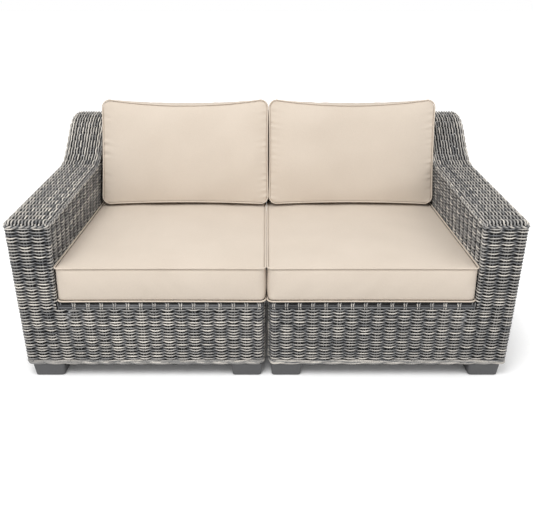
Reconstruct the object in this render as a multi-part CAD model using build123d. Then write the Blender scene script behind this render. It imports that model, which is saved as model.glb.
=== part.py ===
from build123d import *
import math
import os

# Patio loveseat: two woven modules stand side by side, each with one arm, a back, four block
# feet, a boxed seat cushion and a boxed back cushion. The left module is modelled and the right
# one is its mirror image. Lengths are millimetres and angles are degrees.
# While modelling, y counts from the front plane towards the back and z from the floor; the
# finished pieces are moved so that the origin is on the floor, in the middle of the loveseat.

# Driving sizes of a module
module_width = 876.0        # outer arm face to the face beside the other module
module_gap = 2.0            # between the two modules, which stand almost face to face
depth = 1025.0              # front plane to the rearmost line of the back
arm_width = 155.0
arm_front_height = 601.0    # top of the arm at the front, before its edge is rounded
back_height = 790.0         # top of the woven back
deck_top = 302.0            # top of the seat webbing
clearance = 0.3             # gap between pieces that only lie against each other
overrun = 5.0               # how far a cutting body runs past the body that it cuts

# The arm's top line and its S-curve up to the back
arm_slope = 2.15            # the arm rises this much towards the back
s_slope = 40.0              # steepest part of the S-curve
s_flat_length = 33.0        # level stretch from the S-curve to the rounded rear edge
s_hollow_share = 1.11       # radius of the S-curve's lower bend, as a share of its rise
s_crown_share = 1.13        # radius of its upper bend, as a share of its rise

# The back
back_lean = 15.0            # its front face leans back
rear_rake = 4.5             # its rear face leans out towards the top
back_top_flat = 64.0        # level stretch between its two rounded top edges
back_front_radius = 22.0
back_rear_radius = 26.0

# The woven skin
weave = 14.0                # thickness, two layers of strand round the stakes
edge_radius = 20.0          # rounding of the arm's long edges and of the outer corners
inner_corner = 28.0         # rounding of the base's corners beside the other module
arm_front_radius = 22.0     # rounding of the arm's top over its front face
rim_radius = 4.0            # rolled top edge of the front panel below the cushion
rim_drop = 2.0              # how far that edge lies below the webbing
apron_cut = 32.0            # where the side panels stop short of the raked rear corner
braid_width = 13.0          # rope border round the bottom of the weave, front to back
braid_height = 22.0
braid_corner = 8.0          # corner radius of its centreline

# Frame tubes, square and hollow
tube = 25.0
arm_tube = 20.0
tube_wall = 2.0
spreader = 18.0             # cross bars between the arm's two loops
spreader_setback = 70.0     # first cross bar from the front
arm_rail_inset = 2.0        # seat rail under the arm, from the arm's inner face
top_rail_setback = 2.0      # top rail behind the centre of the back's front rounding
mid_rail_share = 0.5        # height of the back's middle rails between seat and top rail
mid_rail_gap = 4.0          # their gap to the woven skin

# Seat webbing
strap_width = 50.0
strap_thickness = 1.5
straps_lengthwise = 6
straps_crosswise = 7
strap_end = 6.0             # how far a strap stops short of the far edge of its rail

# Feet
foot_height = 51.0          # floor to the underside of the frame
foot_top = 116.0
foot_bottom = 106.0
foot_corner = 10.0
foot_toe = 1.5              # bevel of the bottom edge
foot_wall = 5.0
foot_rib = 4.0
foot_inset_outer = 25.0     # from the arm's outer face
foot_inset_inner = 13.0     # from the face beside the other module
foot_inset_front = 10.0
foot_boss = 20.0            # square boss round the bolt and round the glide's thread
glide_show = 1.5            # how far the levelling glide stands out of the foot
glide_pad = 27.0            # across the flats of its hexagonal pad
glide_pad_height = 6.0
glide_stem = 8.0
glide_stem_length = 34.0
glide_gap = 1.0             # free space round the pad and beyond the stem
thread_gap = 0.05           # radial gap of the stem in its thread
bolt_shank = 6.0
bolt_gap = 0.2              # radial gap of a bolt in its holes
bolt_head = 10.0
bolt_head_height = 4.0
bolt_grip = 15.0            # foot material under the frame that a bolt clamps
bolt_reach = 8.0            # thread inside the frame tube

# Seat cushion
cushion_gap = 1.0           # its piping to the arm
cushion_setback = 4.0       # its piping to the front plane
cushion_middle_gap = 1.0    # its piping to the middle of the loveseat
seat_rear_gap = 1.0         # its piping to the woven back
seat_boxing = 122.0         # between the two piped seams
seat_seam_lift = 5.2        # lower seam above the bottom panel
seat_crown = 14.0           # swell of the top panel
seat_corner = 24.0
seat_draw = 3.0             # how far the seams pull in between the corners
bottom_inset = 18.0         # bottom panel's flat, in from the seam
crown_insets = (45.0, 120.0, 200.0)
crown_shares = (0.62, 0.93, 1.0)
piping_diameter = 6.0
cord_sides = 6              # sides of the section of piping and braid
corner_chords = 4           # chords of a rounded corner
side_chords = 2
deep_side_chords = 4        # chords of a side that pulls in further than deep_draw
deep_draw = 10.0

# Back cushion, in its own plane, which leans like the back
back_cushion_rise = 437.0   # front panel, bottom corners to top corners
back_cushion_boxing = 140.0
back_cushion_gap = 11.0     # its piping to the arm
back_cushion_crown = 16.0
back_cushion_rear_crown = 5.0
back_cushion_corner = 34.0
back_draw_side = 5.0
back_draw_top = 18.0        # the top edge dips between its corners
back_draw_bottom = 0.6
back_crown_insets = (40.0, 90.0, 140.0)

# Inserts and zips
foam_inset = 24.0           # foam block to the cushion's outline
foam_skin = 14.0            # foam block to the seam planes
zip_length = 560.0
zip_tape = 26.0
zip_tape_thickness = 1.2
zip_chain = 5.0
zip_chain_height = 1.6
zip_pocket = 3.0            # depth of the flat that the tape is sewn to
slider_length = 12.0
slider_width = 9.0
slider_height = 3.6
slider_gap = 0.3
tab_length = 24.0
tab_width = 7.0
tab_thickness = 1.4

# Places that follow from the sizes
x_inner = -module_gap / 2
x_outer = x_inner - module_width
x_arm = x_outer + arm_width
wall_foot = deck_top + clearance
seat_ring_top = deck_top - 2 * strap_thickness
seat_ring_bottom = seat_ring_top - tube
braid_bottom = foot_height + clearance
skin_bottom = braid_bottom + braid_height + clearance
skin_room = weave + clearance
piping_step = (piping_diameter / 2 + clearance) * math.sqrt(0.5)
piping_reach = piping_step + piping_diameter / 2


def rad(angle):
    """Radians of an angle in degrees."""
    return math.radians(angle)


def along(angle):
    """Unit direction in the (y, z) plane that rises by an angle towards the back."""
    return (math.cos(rad(angle)), math.sin(rad(angle)))


def normal(angle):
    """Unit direction square to along(angle), pointing up."""
    return (-math.sin(rad(angle)), math.cos(rad(angle)))


def go(point, direction, distance):
    """The (y, z) point at a distance from another one."""
    return (point[0] + direction[0] * distance, point[1] + direction[1] * distance)


# The S-curve: two arcs with a straight ramp between them, worked out for a rise of one
s_ramp_share = (
    1
    - s_hollow_share * (math.cos(rad(arm_slope)) - math.cos(rad(s_slope)))
    - s_crown_share * (1 - math.cos(rad(s_slope)))
) / math.sin(rad(s_slope))
s_run_share = (
    s_hollow_share * (math.sin(rad(s_slope)) - math.sin(rad(arm_slope)))
    + s_ramp_share * math.cos(rad(s_slope))
    + s_crown_share * math.sin(rad(s_slope))
)
rear_centre = (depth - back_rear_radius, back_height - back_rear_radius)
s_end_y = rear_centre[0] - s_flat_length
arm_grade = math.tan(rad(arm_slope))
s_start_z = (
    arm_front_height + arm_grade * (s_end_y - s_run_share * back_height)
) / (1 - arm_grade * s_run_share)
s_rise = back_height - s_start_z
s_start = (s_end_y - s_run_share * s_rise, s_start_z)
hollow_radius = s_hollow_share * s_rise
crown_radius = s_crown_share * s_rise
hollow_centre = go(s_start, normal(arm_slope), hollow_radius)
ramp_start = go(hollow_centre, normal(s_slope), -hollow_radius)
ramp_end = go(ramp_start, along(s_slope), s_ramp_share * s_rise)
crown_centre = go(ramp_end, normal(s_slope), -crown_radius)
arm_front_centre = (
    arm_front_radius,
    arm_front_height + arm_grade * arm_front_radius
    - arm_front_radius / math.cos(rad(arm_slope)),
)
back_front_centre = (rear_centre[0] - back_top_flat, back_height - back_front_radius)


def arm_top_z(y, inset):
    """Height of the arm's straight top line at y, for an outline drawn inside by inset."""
    return arm_front_height + arm_grade * y - inset / math.cos(rad(arm_slope))


def rear_y(z, inset=0.0):
    """Where the raked rear face is at height z."""
    touch = go(rear_centre, (math.cos(rad(rear_rake)), -math.sin(rad(rear_rake))),
               back_rear_radius)
    return touch[0] - (touch[1] - z) * math.tan(rad(rear_rake)) - inset / math.cos(rad(rear_rake))


def back_y(z, inset=0.0):
    """Where the leaning front face of the back is at height z."""
    touch = go(back_front_centre, (-math.cos(rad(back_lean)), math.sin(rad(back_lean))),
               back_front_radius)
    return touch[0] - (touch[1] - z) * math.tan(rad(back_lean)) + inset / math.cos(rad(back_lean))


def outline_face(pieces, x):
    """A face in the plane at x. A piece is two (y, z) points for a line or three for an arc."""
    edges = []
    for piece in pieces:
        points = [Vector(x, y, z) for y, z in piece]
        if len(points) == 2:
            edges.append(Edge.make_line(*points))
        else:
            edges.append(Edge.make_three_point_arc(*points))
    return Face(Wire(edges))


def bent(centre, radius, first, last):
    """Three points of an arc between two angles, each measured from the +y direction."""
    middle = (first + last) / 2
    return [go(centre, along(a), radius) for a in (first, middle, last)]


def side_face(inset, bottom, x):
    """Outline of the arm seen from the side, drawn inside the outer one by inset."""
    if inset < arm_front_radius:
        corner = bent(arm_front_centre, arm_front_radius - inset, 180, 90 + arm_slope)
    else:
        corner = [(inset, arm_top_z(inset, inset))]
    hollow = bent(hollow_centre, hollow_radius + inset, arm_slope - 90, s_slope - 90)
    crown = bent(crown_centre, crown_radius - inset, 90 + s_slope, 90)
    floor_front = (inset, bottom)
    floor_rear = (rear_y(bottom, inset), bottom)
    pieces = [[floor_front, corner[0]]]
    if len(corner) > 1:
        pieces.append(corner)
    pieces += [[corner[-1], hollow[0]], hollow, [hollow[-1], crown[0]], crown]
    if inset < back_rear_radius:
        rear = bent(rear_centre, back_rear_radius - inset, 90, -rear_rake)
        pieces += [[crown[-1], rear[0]], rear, [rear[-1], floor_rear]]
    else:
        top_z = back_height - inset
        top_rear = (rear_y(top_z, inset), top_z)
        pieces += [[crown[-1], top_rear], [top_rear, floor_rear]]
    pieces.append([floor_rear, floor_front])
    return outline_face(pieces, x)


def back_face(inset, bottom, x):
    """Outline of the woven back seen from the side."""
    front = bent(back_front_centre, back_front_radius - inset, 180 - back_lean, 90)
    rear = bent(rear_centre, back_rear_radius - inset, 90, -rear_rake)
    foot_front = (back_y(bottom, inset), bottom)
    foot_rear = (rear_y(bottom, inset), bottom)
    return outline_face(
        [[foot_front, front[0]], front, [front[-1], rear[0]], rear, [rear[-1], foot_rear],
         [foot_rear, foot_front]], x)


def slab(x0, x1, y0, y1, z0, z1):
    """A box between two corners."""
    return Pos((x0 + x1) / 2, (y0 + y1) / 2, (z0 + z1) / 2) * Box(x1 - x0, y1 - y0, z1 - z0)


def beam(points, x0, x1):
    """A straight-sided bar: a (y, z) polygon run from x0 to x1."""
    closed = points + points[:1]
    pieces = [[closed[i], closed[i + 1]] for i in range(len(points))]
    return extrude(outline_face(pieces, x0), amount=x1 - x0, dir=(1, 0, 0))


def flat(points):
    """A flat face between corner points."""
    return Face(Wire.make_polygon(points, close=True))


def fused(solids):
    """One solid from overlapping or touching ones."""
    whole = solids[0]
    for solid in solids[1:]:
        whole = whole + solid
    return whole


def run(face, length):
    """A face run along x by a length."""
    return extrude(face, amount=length, dir=(1, 0, 0))


# Woven skin

def base_ring():
    """The woven wall round the base: rounded corners, upright sides and a raked rear."""
    def block(inset, low, high):
        return beam(
            [(inset, low), (inset, high), (rear_y(high, inset), high), (rear_y(low, inset), low)],
            x_outer + inset, x_inner - inset)

    wall = block(0.0, skin_bottom, wall_foot)
    upright = [e for e in wall.edges() if abs((e % 0.5).X) < 0.5 and abs((e % 0.5).Z) > 0.5]
    upright.sort(key=lambda e: e.center().X)
    wall = fillet(upright[:2], edge_radius)
    beside = [e for e in wall.edges() if abs(e.center().X - x_inner) < clearance
              and abs((e % 0.5).Z) > 0.5]
    wall = fillet(beside, inner_corner)
    return wall - block(weave, skin_bottom - overrun, wall_foot + overrun)


def quarters(ring):
    """Front, rear, outer and inner length of something that runs round the module."""
    x_low, x_high = x_outer - overrun, x_inner + overrun
    x_middle = (x_outer + x_inner) / 2
    cut_rear = rear_y(skin_bottom) - apron_cut
    z_low, z_high = foot_height - overrun, wall_foot + overrun
    return (ring & slab(x_low, x_high, -overrun, inner_corner, z_low, z_high),
            ring & slab(x_low, x_high, cut_rear, depth + overrun, z_low, z_high),
            ring & slab(x_low, x_middle, inner_corner, cut_rear, z_low, z_high),
            ring & slab(x_middle, x_high, inner_corner, cut_rear, z_low, z_high))


def aprons():
    """Front, rear, outer and inner panels of the base wall, cut from one ring."""
    front, rear, outer, inner = quarters(base_ring())
    rim_top = deck_top - rim_drop
    front = front - slab(x_arm, x_inner + overrun, -overrun, inner_corner + overrun, rim_top,
                         wall_foot + overrun)
    rim = [e for e in front.edges()
           if abs(e.center().Z - rim_top) < clearance and abs((e % 0.5).X) > 0.5
           and e.length > module_width / 2]
    front = fillet(rim, rim_radius)
    return {"front_apron": front, "rear_apron": rear, "outer_apron": outer, "inner_apron": inner}


def arm_weave():
    """Hollow woven arm: outer, front, top and inner walls, with the S-curve up to the back."""
    body = run(side_face(0.0, wall_foot, x_outer), arm_width)

    def long_edges(solid, x, y_limit):
        """Edges of the side face at x, apart from the one along its bottom."""
        return [e for e in solid.edges()
                if abs(e.center().X - x) < clearance and e.center().Z > wall_foot + clearance
                and abs((e @ 0).X - (e @ 1).X) < clearance and e.bounding_box().max.Y < y_limit]

    body = fillet(long_edges(body, x_outer, depth + overrun), edge_radius)
    split_y = back_front_centre[0] - back_front_radius
    x_low, x_high = x_outer - overrun, x_arm + overrun
    z_low, z_high = wall_foot - overrun, back_height + overrun
    ahead = body & slab(x_low, x_high, -overrun, split_y, z_low, z_high)
    behind = body & slab(x_low, x_high, split_y, depth + overrun, z_low, z_high)
    inner_edges = [e for e in long_edges(ahead, x_arm, depth + overrun)
                   if e.bounding_box().min.Y < split_y - clearance]
    ahead = fillet(inner_edges, edge_radius)
    room = run(side_face(weave, wall_foot - overrun, x_outer + weave), arm_width - 2 * weave)
    return ahead + behind - room


def back_weave():
    """Hollow woven back, open below and towards the arm, closed at the module's inner side."""
    width = x_inner - x_arm
    body = run(back_face(0.0, wall_foot, x_arm), width)
    rounded = [e for e in body.edges() if abs(e.center().X - x_inner) < clearance
               and abs((e @ 0).X - (e @ 1).X) < clearance and e.center().Z > wall_foot + clearance]
    body = fillet(rounded, edge_radius)
    room = run(back_face(weave, wall_foot - overrun, x_arm - overrun), width - weave + overrun)
    return body - room


def bottom_braid():
    """Rope border that closes the weave at the bottom, as four lengths that meet end to end."""
    half = braid_width / 2
    half_height = braid_height / 2
    y_rear = rear_y(skin_bottom) - half
    points = outline_points((x_outer + half, x_inner - half, half, y_rear), braid_corner)
    return list(quarters(cord(points, braid_bottom + half_height, Plane.XY, half, half_height)))


# Frame

def hollow(bars):
    """Welded square tubes: each bar is its outer body and the room inside its walls."""
    return fused([outer for outer, _ in bars]) - fused([room for _, room in bars])


def bar(x0, x1, y0, y1, z0, z1):
    """A box tube with closed ends, as its outer body and its inner room."""
    w = tube_wall
    return (slab(x0, x1, y0, y1, z0, z1),
            slab(x0 + w, x1 - w, y0 + w, y1 - w, z0 + w, z1 - w))


def raked_bar(x0, side, z0, z1, thickness):
    """An upright tube along a leaning wall. side(z) gives its front and rear y at height z."""
    def body(grow, low, high):
        (front_low, rear_low), (front_high, rear_high) = side(low), side(high)
        return beam([(front_low + grow, low), (front_high + grow, high),
                     (rear_high - grow, high), (rear_low - grow, low)],
                    x0 + grow, x0 + thickness - grow)
    return body(0.0, z0, z1), body(tube_wall, z0 + tube_wall, z1 - tube_wall)


def rear_side(z):
    """Front and rear y of a tube that lies along the raked rear wall."""
    rear = rear_y(z, skin_room)
    return rear - tube, rear


def back_side(z):
    """Front and rear y of a tube that lies along the leaning front wall of the back."""
    front = back_y(z, skin_room)
    return front, front + tube


frame_outer = x_outer + skin_room
frame_inner = x_inner - skin_room
arm_rail_x = x_arm - arm_rail_inset - tube
seat_rail_y = back_side(seat_ring_top)[1] - tube


def base_frame():
    """Welded box frame of the seat: a lower ring, a seat ring and six posts."""
    front = skin_room
    low_z = (foot_height, foot_height + tube)
    top_z = (seat_ring_bottom, seat_ring_top)
    bars = []
    for z0, z1 in (low_z, top_z):
        rear0, rear1 = rear_side(z0)
        bars.append(bar(frame_outer, frame_inner, front, front + tube, z0, z1))
        bars.append(bar(frame_outer, frame_inner, rear0, rear1, z0, z1))
        bars.append(bar(frame_outer, frame_outer + tube, front, rear1, z0, z1))
        bars.append(bar(frame_inner - tube, frame_inner, front, rear1, z0, z1))
    rear1 = rear_side(seat_ring_bottom)[1]
    bars.append(bar(arm_rail_x, arm_rail_x + tube, front, rear1, *top_z))
    bars.append(bar(frame_outer, frame_inner, seat_rail_y, seat_rail_y + tube, *top_z))
    for x in (frame_outer, arm_rail_x, frame_inner - tube):
        bars.append(bar(x, x + tube, front, front + tube, foot_height, seat_ring_top))
        bars.append(raked_bar(x, rear_side, foot_height, seat_ring_bottom, tube))
    solid = hollow(bars)
    for x, y in bolt_places():
        hole = Cylinder(bolt_shank / 2 + bolt_gap, tube)
        solid = solid - Pos(x, y, foot_height) * hole
    return solid


def arm_frame():
    """Two bent tubes that follow the arm's outline, joined by cross bars."""
    x_loops = (frame_outer, x_arm - skin_room - arm_tube)
    loops = []
    for x in x_loops:
        outer = run(side_face(skin_room, seat_ring_top, x), arm_tube)
        hole = run(side_face(skin_room + arm_tube, seat_ring_top - overrun, x - overrun),
                   arm_tube + 2 * overrun)
        loops.append(outer - hole)
    middle = skin_room + arm_tube / 2
    half = spreader / 2
    places = [spreader_setback, (spreader_setback + s_start[0]) / 2, s_start[0]]
    centres = [(y, arm_top_z(y, middle)) for y in places]
    centres.append((s_end_y, back_height - middle))
    for y, z in centres:
        loops.append(slab(x_loops[0] + half, x_loops[1] + half, y - half, y + half,
                          z - half, z + half))
    return fused(loops)


def back_frame():
    """Leaning and raked uprights with a top rail and middle rails, inside the woven back."""
    top = back_height - skin_room
    x0, x1 = x_arm + clearance, frame_inner
    rail_y0 = back_front_centre[0] + top_rail_setback
    rail_y1 = rear_centre[0] - top_rail_setback
    bars = [bar(x0, x1, rail_y0, rail_y1, top - tube, top)]
    middle = (x0 + x1 - tube) / 2
    for x in (x0, middle, x1 - tube):
        bars.append(raked_bar(x, back_side, seat_ring_top, top - tube, tube))
        bars.append(raked_bar(x, rear_side, seat_ring_top, top - tube, tube))
    z = seat_ring_top + (top - seat_ring_top) * mid_rail_share
    front = back_side(z + tube)[0] + mid_rail_gap
    rear = rear_side(z)[1] - mid_rail_gap
    bars.append(bar(x0, x1, front, front + tube, z, z + tube))
    bars.append(bar(x0, x1, rear - tube, rear, z, z + tube))
    return hollow(bars)


def deck_webbing():
    """Elastic straps over the seat ring: crosswise ones below, lengthwise ones on top."""
    x0, x1 = x_arm - weave, frame_inner
    y0, y1 = skin_room, seat_rail_y + tube - strap_end
    straps = []
    clear = back_y(deck_top)
    for i in range(straps_crosswise):
        y = y0 + (clear - y0) * (i + 0.5) / straps_crosswise
        straps.append(slab(x0, x1, y - strap_width / 2, y + strap_width / 2,
                           seat_ring_top, seat_ring_top + strap_thickness))
    for i in range(straps_lengthwise):
        x = x_arm + (frame_inner - x_arm) * (i + 0.5) / straps_lengthwise
        straps.append(slab(x - strap_width / 2, x + strap_width / 2, y0, y1,
                           seat_ring_top + strap_thickness, deck_top))
    return straps


# Feet

def foot_places():
    """Name and centre (x, y) of each foot."""
    half = foot_top / 2
    outer = x_outer + foot_inset_outer + half
    inner = x_inner - foot_inset_inner - half
    front = foot_inset_front + half
    rear = rear_y(skin_bottom) - foot_inset_front - half
    return {"front_outer": (outer, front), "front_inner": (inner, front),
            "rear_outer": (outer, rear), "rear_inner": (inner, rear)}


def bolt_offset(name):
    """Where a foot's bolt is from its centre: under the frame's front or rear tube."""
    tube_y = skin_room + tube / 2 if "front" in name else rear_side(foot_height)[1] - tube / 2
    return (0.0, tube_y - foot_places()[name][1])


def bolt_places():
    """Centre (x, y) of every foot bolt."""
    return [go(place, bolt_offset(name), 1) for name, place in foot_places().items()]


def tapered(levels, corner):
    """A square block with rounded corners through (height, width) levels."""
    sections = []
    for z, width in levels:
        half = width / 2
        outline = outline_points((-half, half, -half, half), corner)
        sections.append(flat([Vector(x, y, z) for x, y in outline]))
    return loft(sections, ruled=True)


def foot(name):
    """Tapered block foot: a moulded cup, open above, with ribs, bolt bosses and a thread."""
    low, high = glide_show, foot_height
    sole = foot_bottom - 2 * foot_toe
    body = tapered([(low, sole), (low + foot_toe, foot_bottom), (high, foot_top)], foot_corner)
    floor = low + foot_wall
    room = tapered([(floor, foot_bottom - 2 * foot_wall), (high, foot_top - 2 * foot_wall)],
                   foot_corner - foot_wall)
    offset = bolt_offset(name)
    half_boss = foot_boss / 2
    solid_parts = [slab(-foot_top, foot_top, -foot_rib / 2, foot_rib / 2, floor, high),
                   slab(-foot_rib / 2, foot_rib / 2, -foot_top, foot_top, floor, high)]
    for x, y in (offset, (0.0, 0.0)):
        solid_parts.append(slab(x - half_boss, x + half_boss, y - half_boss, y + half_boss,
                                floor, high))
    body = body - (room - fused(solid_parts))
    pad_room = RegularPolygon(glide_pad / 2 + glide_gap, 6, major_radius=False)
    body = body - extrude(Pos(0, 0, low - overrun) * pad_room,
                          amount=overrun + glide_pad_height - low + glide_gap)
    stem_room = glide_stem_length + glide_pad_height + glide_gap
    body = body - Pos(0, 0, stem_room / 2) * Cylinder(glide_stem / 2 + thread_gap, stem_room)
    head_seat = high - bolt_grip
    body = body - Pos(*offset, high / 2) * Cylinder(bolt_shank / 2 + bolt_gap, high + overrun)
    head_room = RegularPolygon(bolt_head / 2 + glide_gap, 6, major_radius=False)
    return body - extrude(Pos(*offset, low - overrun) * head_room,
                          amount=head_seat - low + overrun)


def foot_bolts():
    """Hexagon bolts that clamp the feet to the lower ring of the frame."""
    seat = foot_height - bolt_grip
    bolts = []
    for x, y in bolt_places():
        head = extrude(Pos(x, y, seat - bolt_head_height) * RegularPolygon(
            bolt_head / 2, 6, major_radius=False), amount=bolt_head_height)
        length = bolt_grip + bolt_reach + tube_wall
        bolts.append(head + Pos(x, y, seat + length / 2) * Cylinder(bolt_shank / 2, length))
    return bolts


def glide():
    """Levelling glide: a hexagonal pad on a threaded stem."""
    pad = extrude(RegularPolygon(glide_pad / 2, 6, major_radius=False), amount=glide_pad_height)
    stem_z = glide_pad_height + glide_stem_length / 2
    return pad + Pos(0, 0, stem_z) * Cylinder(glide_stem / 2, glide_stem_length)


# Cushions

def chords_of(draw):
    """How many chords a side needs that pulls in by a draw."""
    if not draw:
        return 1
    return deep_side_chords if draw > deep_draw else side_chords


def outline_points(box, corner, draws=(0, 0, 0, 0), chords=(1, 1, 1, 1)):
    """Closed outline as (x, y) points: round corners, and sides that pull in between them.

    box is left, right, bottom, top. draws is how far each of these sides pulls in at its middle,
    and chords is how many straight lines it is made of. A corner is corner_chords chords of a
    quarter circle. At the share u of a side, the pull is the draw times 4u(1 - u).
    """
    left, right, bottom, top = box
    corners = [((right - corner, bottom + corner), -90), ((right - corner, top - corner), 0),
               ((left + corner, top - corner), 90), ((left + corner, bottom + corner), 180)]
    sides = [(1, (-1, 0)), (3, (0, -1)), (0, (1, 0)), (2, (0, 1))]
    arcs = [[go(centre, along(start + 90 * k / corner_chords), corner)
             for k in range(corner_chords + 1)] for centre, start in corners]
    points = []
    for i, (side, inward) in enumerate(sides):
        points += arcs[i]
        begin, end = arcs[i][-1], arcs[(i + 1) % 4][0]
        for k in range(1, chords[side]):
            u = k / chords[side]
            on_line = (begin[0] + (end[0] - begin[0]) * u, begin[1] + (end[1] - begin[1]) * u)
            points.append(go(on_line, inward, draws[side] * 4 * u * (1 - u)))
    return points


def cord(points, height, plane, half_width, half_height):
    """A rope-like bar of six-sided section along closed (x, y) points at a height in a plane.

    At each point the section lies in the mitre of its two stretches: with unit normals n and m
    of these, a length across the bar is laid off along (n + m) / (1 + n.m).
    """
    count = len(points)
    normals = []
    for (x0, y0), (x1, y1) in zip(points, points[1:] + points[:1]):
        length = math.dist((x0, y0), (x1, y1))
        normals.append(((y1 - y0) / length, (x0 - x1) / length))
    sections = []
    for i, (x, y) in enumerate(points):
        n, m = normals[i - 1], normals[i]
        reach = 1 + n[0] * m[0] + n[1] * m[1]
        across = ((n[0] + m[0]) / reach, (n[1] + m[1]) / reach)
        ring = []
        for k in range(cord_sides):
            out, up = along(360 * k / cord_sides)
            u, v = go((x, y), across, half_width * out)
            ring.append(plane.from_local_coords(Vector(u, v, height + half_height * up)))
        sections.append(ring)
    faces = []
    for i in range(count):
        here, there = sections[i], sections[(i + 1) % count]
        for k in range(cord_sides):
            following = (k + 1) % cord_sides
            faces.append(flat([here[k], here[following], there[following], there[k]]))
    return Solid(Shell(faces))


class Pillow:
    """A boxed cushion drawn in a plane: outlines at distances along the plane's normal."""

    def __init__(self, plane, box, corner, draws, shear=0.0):
        self.plane, self.box, self.corner, self.draws = plane, box, corner, draws
        self.shear = shear      # rise of the bottom edge for each unit along the normal

    def points(self, distance, inset=0.0):
        """Outline of the section at a distance along the normal, in from the box by inset."""
        left, right, bottom, top = self.box
        bottom = bottom + self.shear * distance
        upright = (1 - 2 * inset / (top - bottom)) ** 2
        level = (1 - 2 * inset / (right - left)) ** 2
        draws = [d * share for d, share in zip(self.draws, (upright, upright, level, level))]
        box = (left + inset, right - inset, bottom + inset, top - inset)
        return outline_points(box, self.corner, draws, [chords_of(d) for d in self.draws])

    def solid(self, levels):
        """One solid through (distance, inset) levels: triangles from each outline to the next."""
        rings = [[self.plane.from_local_coords(Vector(x, y, distance))
                  for x, y in self.points(distance, inset)] for distance, inset in levels]
        faces = [flat(rings[0][::-1]), flat(rings[-1])]
        for low, high in zip(rings, rings[1:]):
            for i in range(len(low)):
                j = (i + 1) % len(low)
                faces += [flat([low[i], low[j], high[j]]), flat([low[i], high[j], high[i]])]
        return Solid(Shell(faces))

    def piping(self, distance, outward):
        """Piping in the corner between the boxing and a panel, on its outer side."""
        height = distance + outward * piping_step
        radius = piping_diameter / 2
        return cord(self.points(distance, -piping_step), height, self.plane, radius, radius)


def seat_pillow():
    """The seat cushion's drawing plane lies in its lower seam."""
    z = wall_foot + clearance + seat_seam_lift
    plane = Plane(origin=(0, 0, z), x_dir=(1, 0, 0), z_dir=(0, 0, 1))
    left = x_arm + cushion_gap + piping_reach
    right = -cushion_middle_gap - piping_reach
    front = cushion_setback + piping_reach
    rear = back_y(z) - seat_rear_gap - piping_reach
    return Pillow(plane, (left, right, front, rear), seat_corner, [seat_draw] * 4)


def crown_levels(start, height, insets):
    """Levels of a swelling panel, from its seam to the middle."""
    return [(start, 0.0)] + [(start + height * share, inset)
                             for inset, share in zip(insets, crown_shares)]


def seat_cushion():
    """Cover with its fibre wrap, foam block, piping and zip of the seat cushion."""
    pillow = seat_pillow()
    left, right, front, rear = pillow.box
    base = pillow.plane.origin.Z
    body = pillow.solid([(-seat_seam_lift, bottom_inset), (0.0, 0.0)]
                        + crown_levels(seat_boxing, seat_crown, crown_insets))
    foam = slab(left + foam_inset, right - foam_inset, front + foam_inset, rear - foam_inset,
                base + foam_skin - seat_seam_lift, base + seat_boxing - foam_skin)
    middle_x = (left + right) / 2
    middle_z = base + seat_boxing / 2
    face_y = rear - seat_draw - zip_pocket
    pocket = slab(middle_x - zip_length / 2, middle_x + zip_length / 2, face_y, rear + overrun,
                  middle_z - zip_tape / 2, middle_z + zip_tape / 2)
    place = Plane(origin=(middle_x, face_y, middle_z), x_dir=(-1, 0, 0), z_dir=(0, 1, 0))
    return {"seat_cover": body - foam - pocket, "seat_foam": foam,
            "seat_piping": [pillow.piping(0.0, -1), pillow.piping(seat_boxing, 1)],
            "seat_zip": place * zip_strip(), "seat_zip_slider": place * zip_slider()}


def zip_strip():
    """Zip tape with its closed chain, in the plane's own frame, along x."""
    tape = slab(-zip_length / 2, zip_length / 2, -zip_tape / 2, zip_tape / 2,
                0.0, zip_tape_thickness)
    chain = slab(-zip_length / 2, zip_length / 2, -zip_chain / 2, zip_chain / 2,
                 0.0, zip_tape_thickness + zip_chain_height)
    return tape + chain


def zip_slider():
    """Slider that straddles the chain at its closed end, with a pull tab beside it."""
    x0 = zip_length / 2 - slider_length - tab_length
    z0 = zip_tape_thickness + slider_gap
    body = slab(x0 + tab_length, x0 + tab_length + slider_length,
                -slider_width / 2, slider_width / 2, z0, z0 + slider_height)
    channel = slab(x0, x0 + tab_length + slider_length + overrun,
                   -zip_chain / 2 - slider_gap, zip_chain / 2 + slider_gap,
                   0.0, zip_tape_thickness + zip_chain_height + slider_gap)
    top = z0 + slider_height
    tab = slab(x0, x0 + tab_length + slider_length / 2, -tab_width / 2, tab_width / 2,
               top - tab_thickness, top)
    return body + tab - channel


def back_pillow():
    """The back cushion's drawing plane lies in its rear seam and leans like the back."""
    lean = rad(back_lean)
    swell = seat_crown * crown_shares[1]
    rest_z = seat_pillow().plane.origin.Z + seat_boxing + swell + piping_reach + clearance
    stand = max(back_cushion_rear_crown, piping_reach) + clearance
    origin = (0, back_y(rest_z) - stand / math.cos(lean), rest_z)
    plane = Plane(origin=origin, x_dir=(1, 0, 0), z_dir=(0, -math.cos(lean), math.sin(lean)))
    left = x_arm + back_cushion_gap + piping_reach
    right = -cushion_middle_gap - piping_reach
    rise = back_cushion_rise - back_cushion_boxing * math.tan(lean)
    return Pillow(plane, (left, right, 0.0, rise), back_cushion_corner,
                  [back_draw_side, back_draw_side, back_draw_bottom, back_draw_top],
                  shear=-math.tan(lean))


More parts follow.
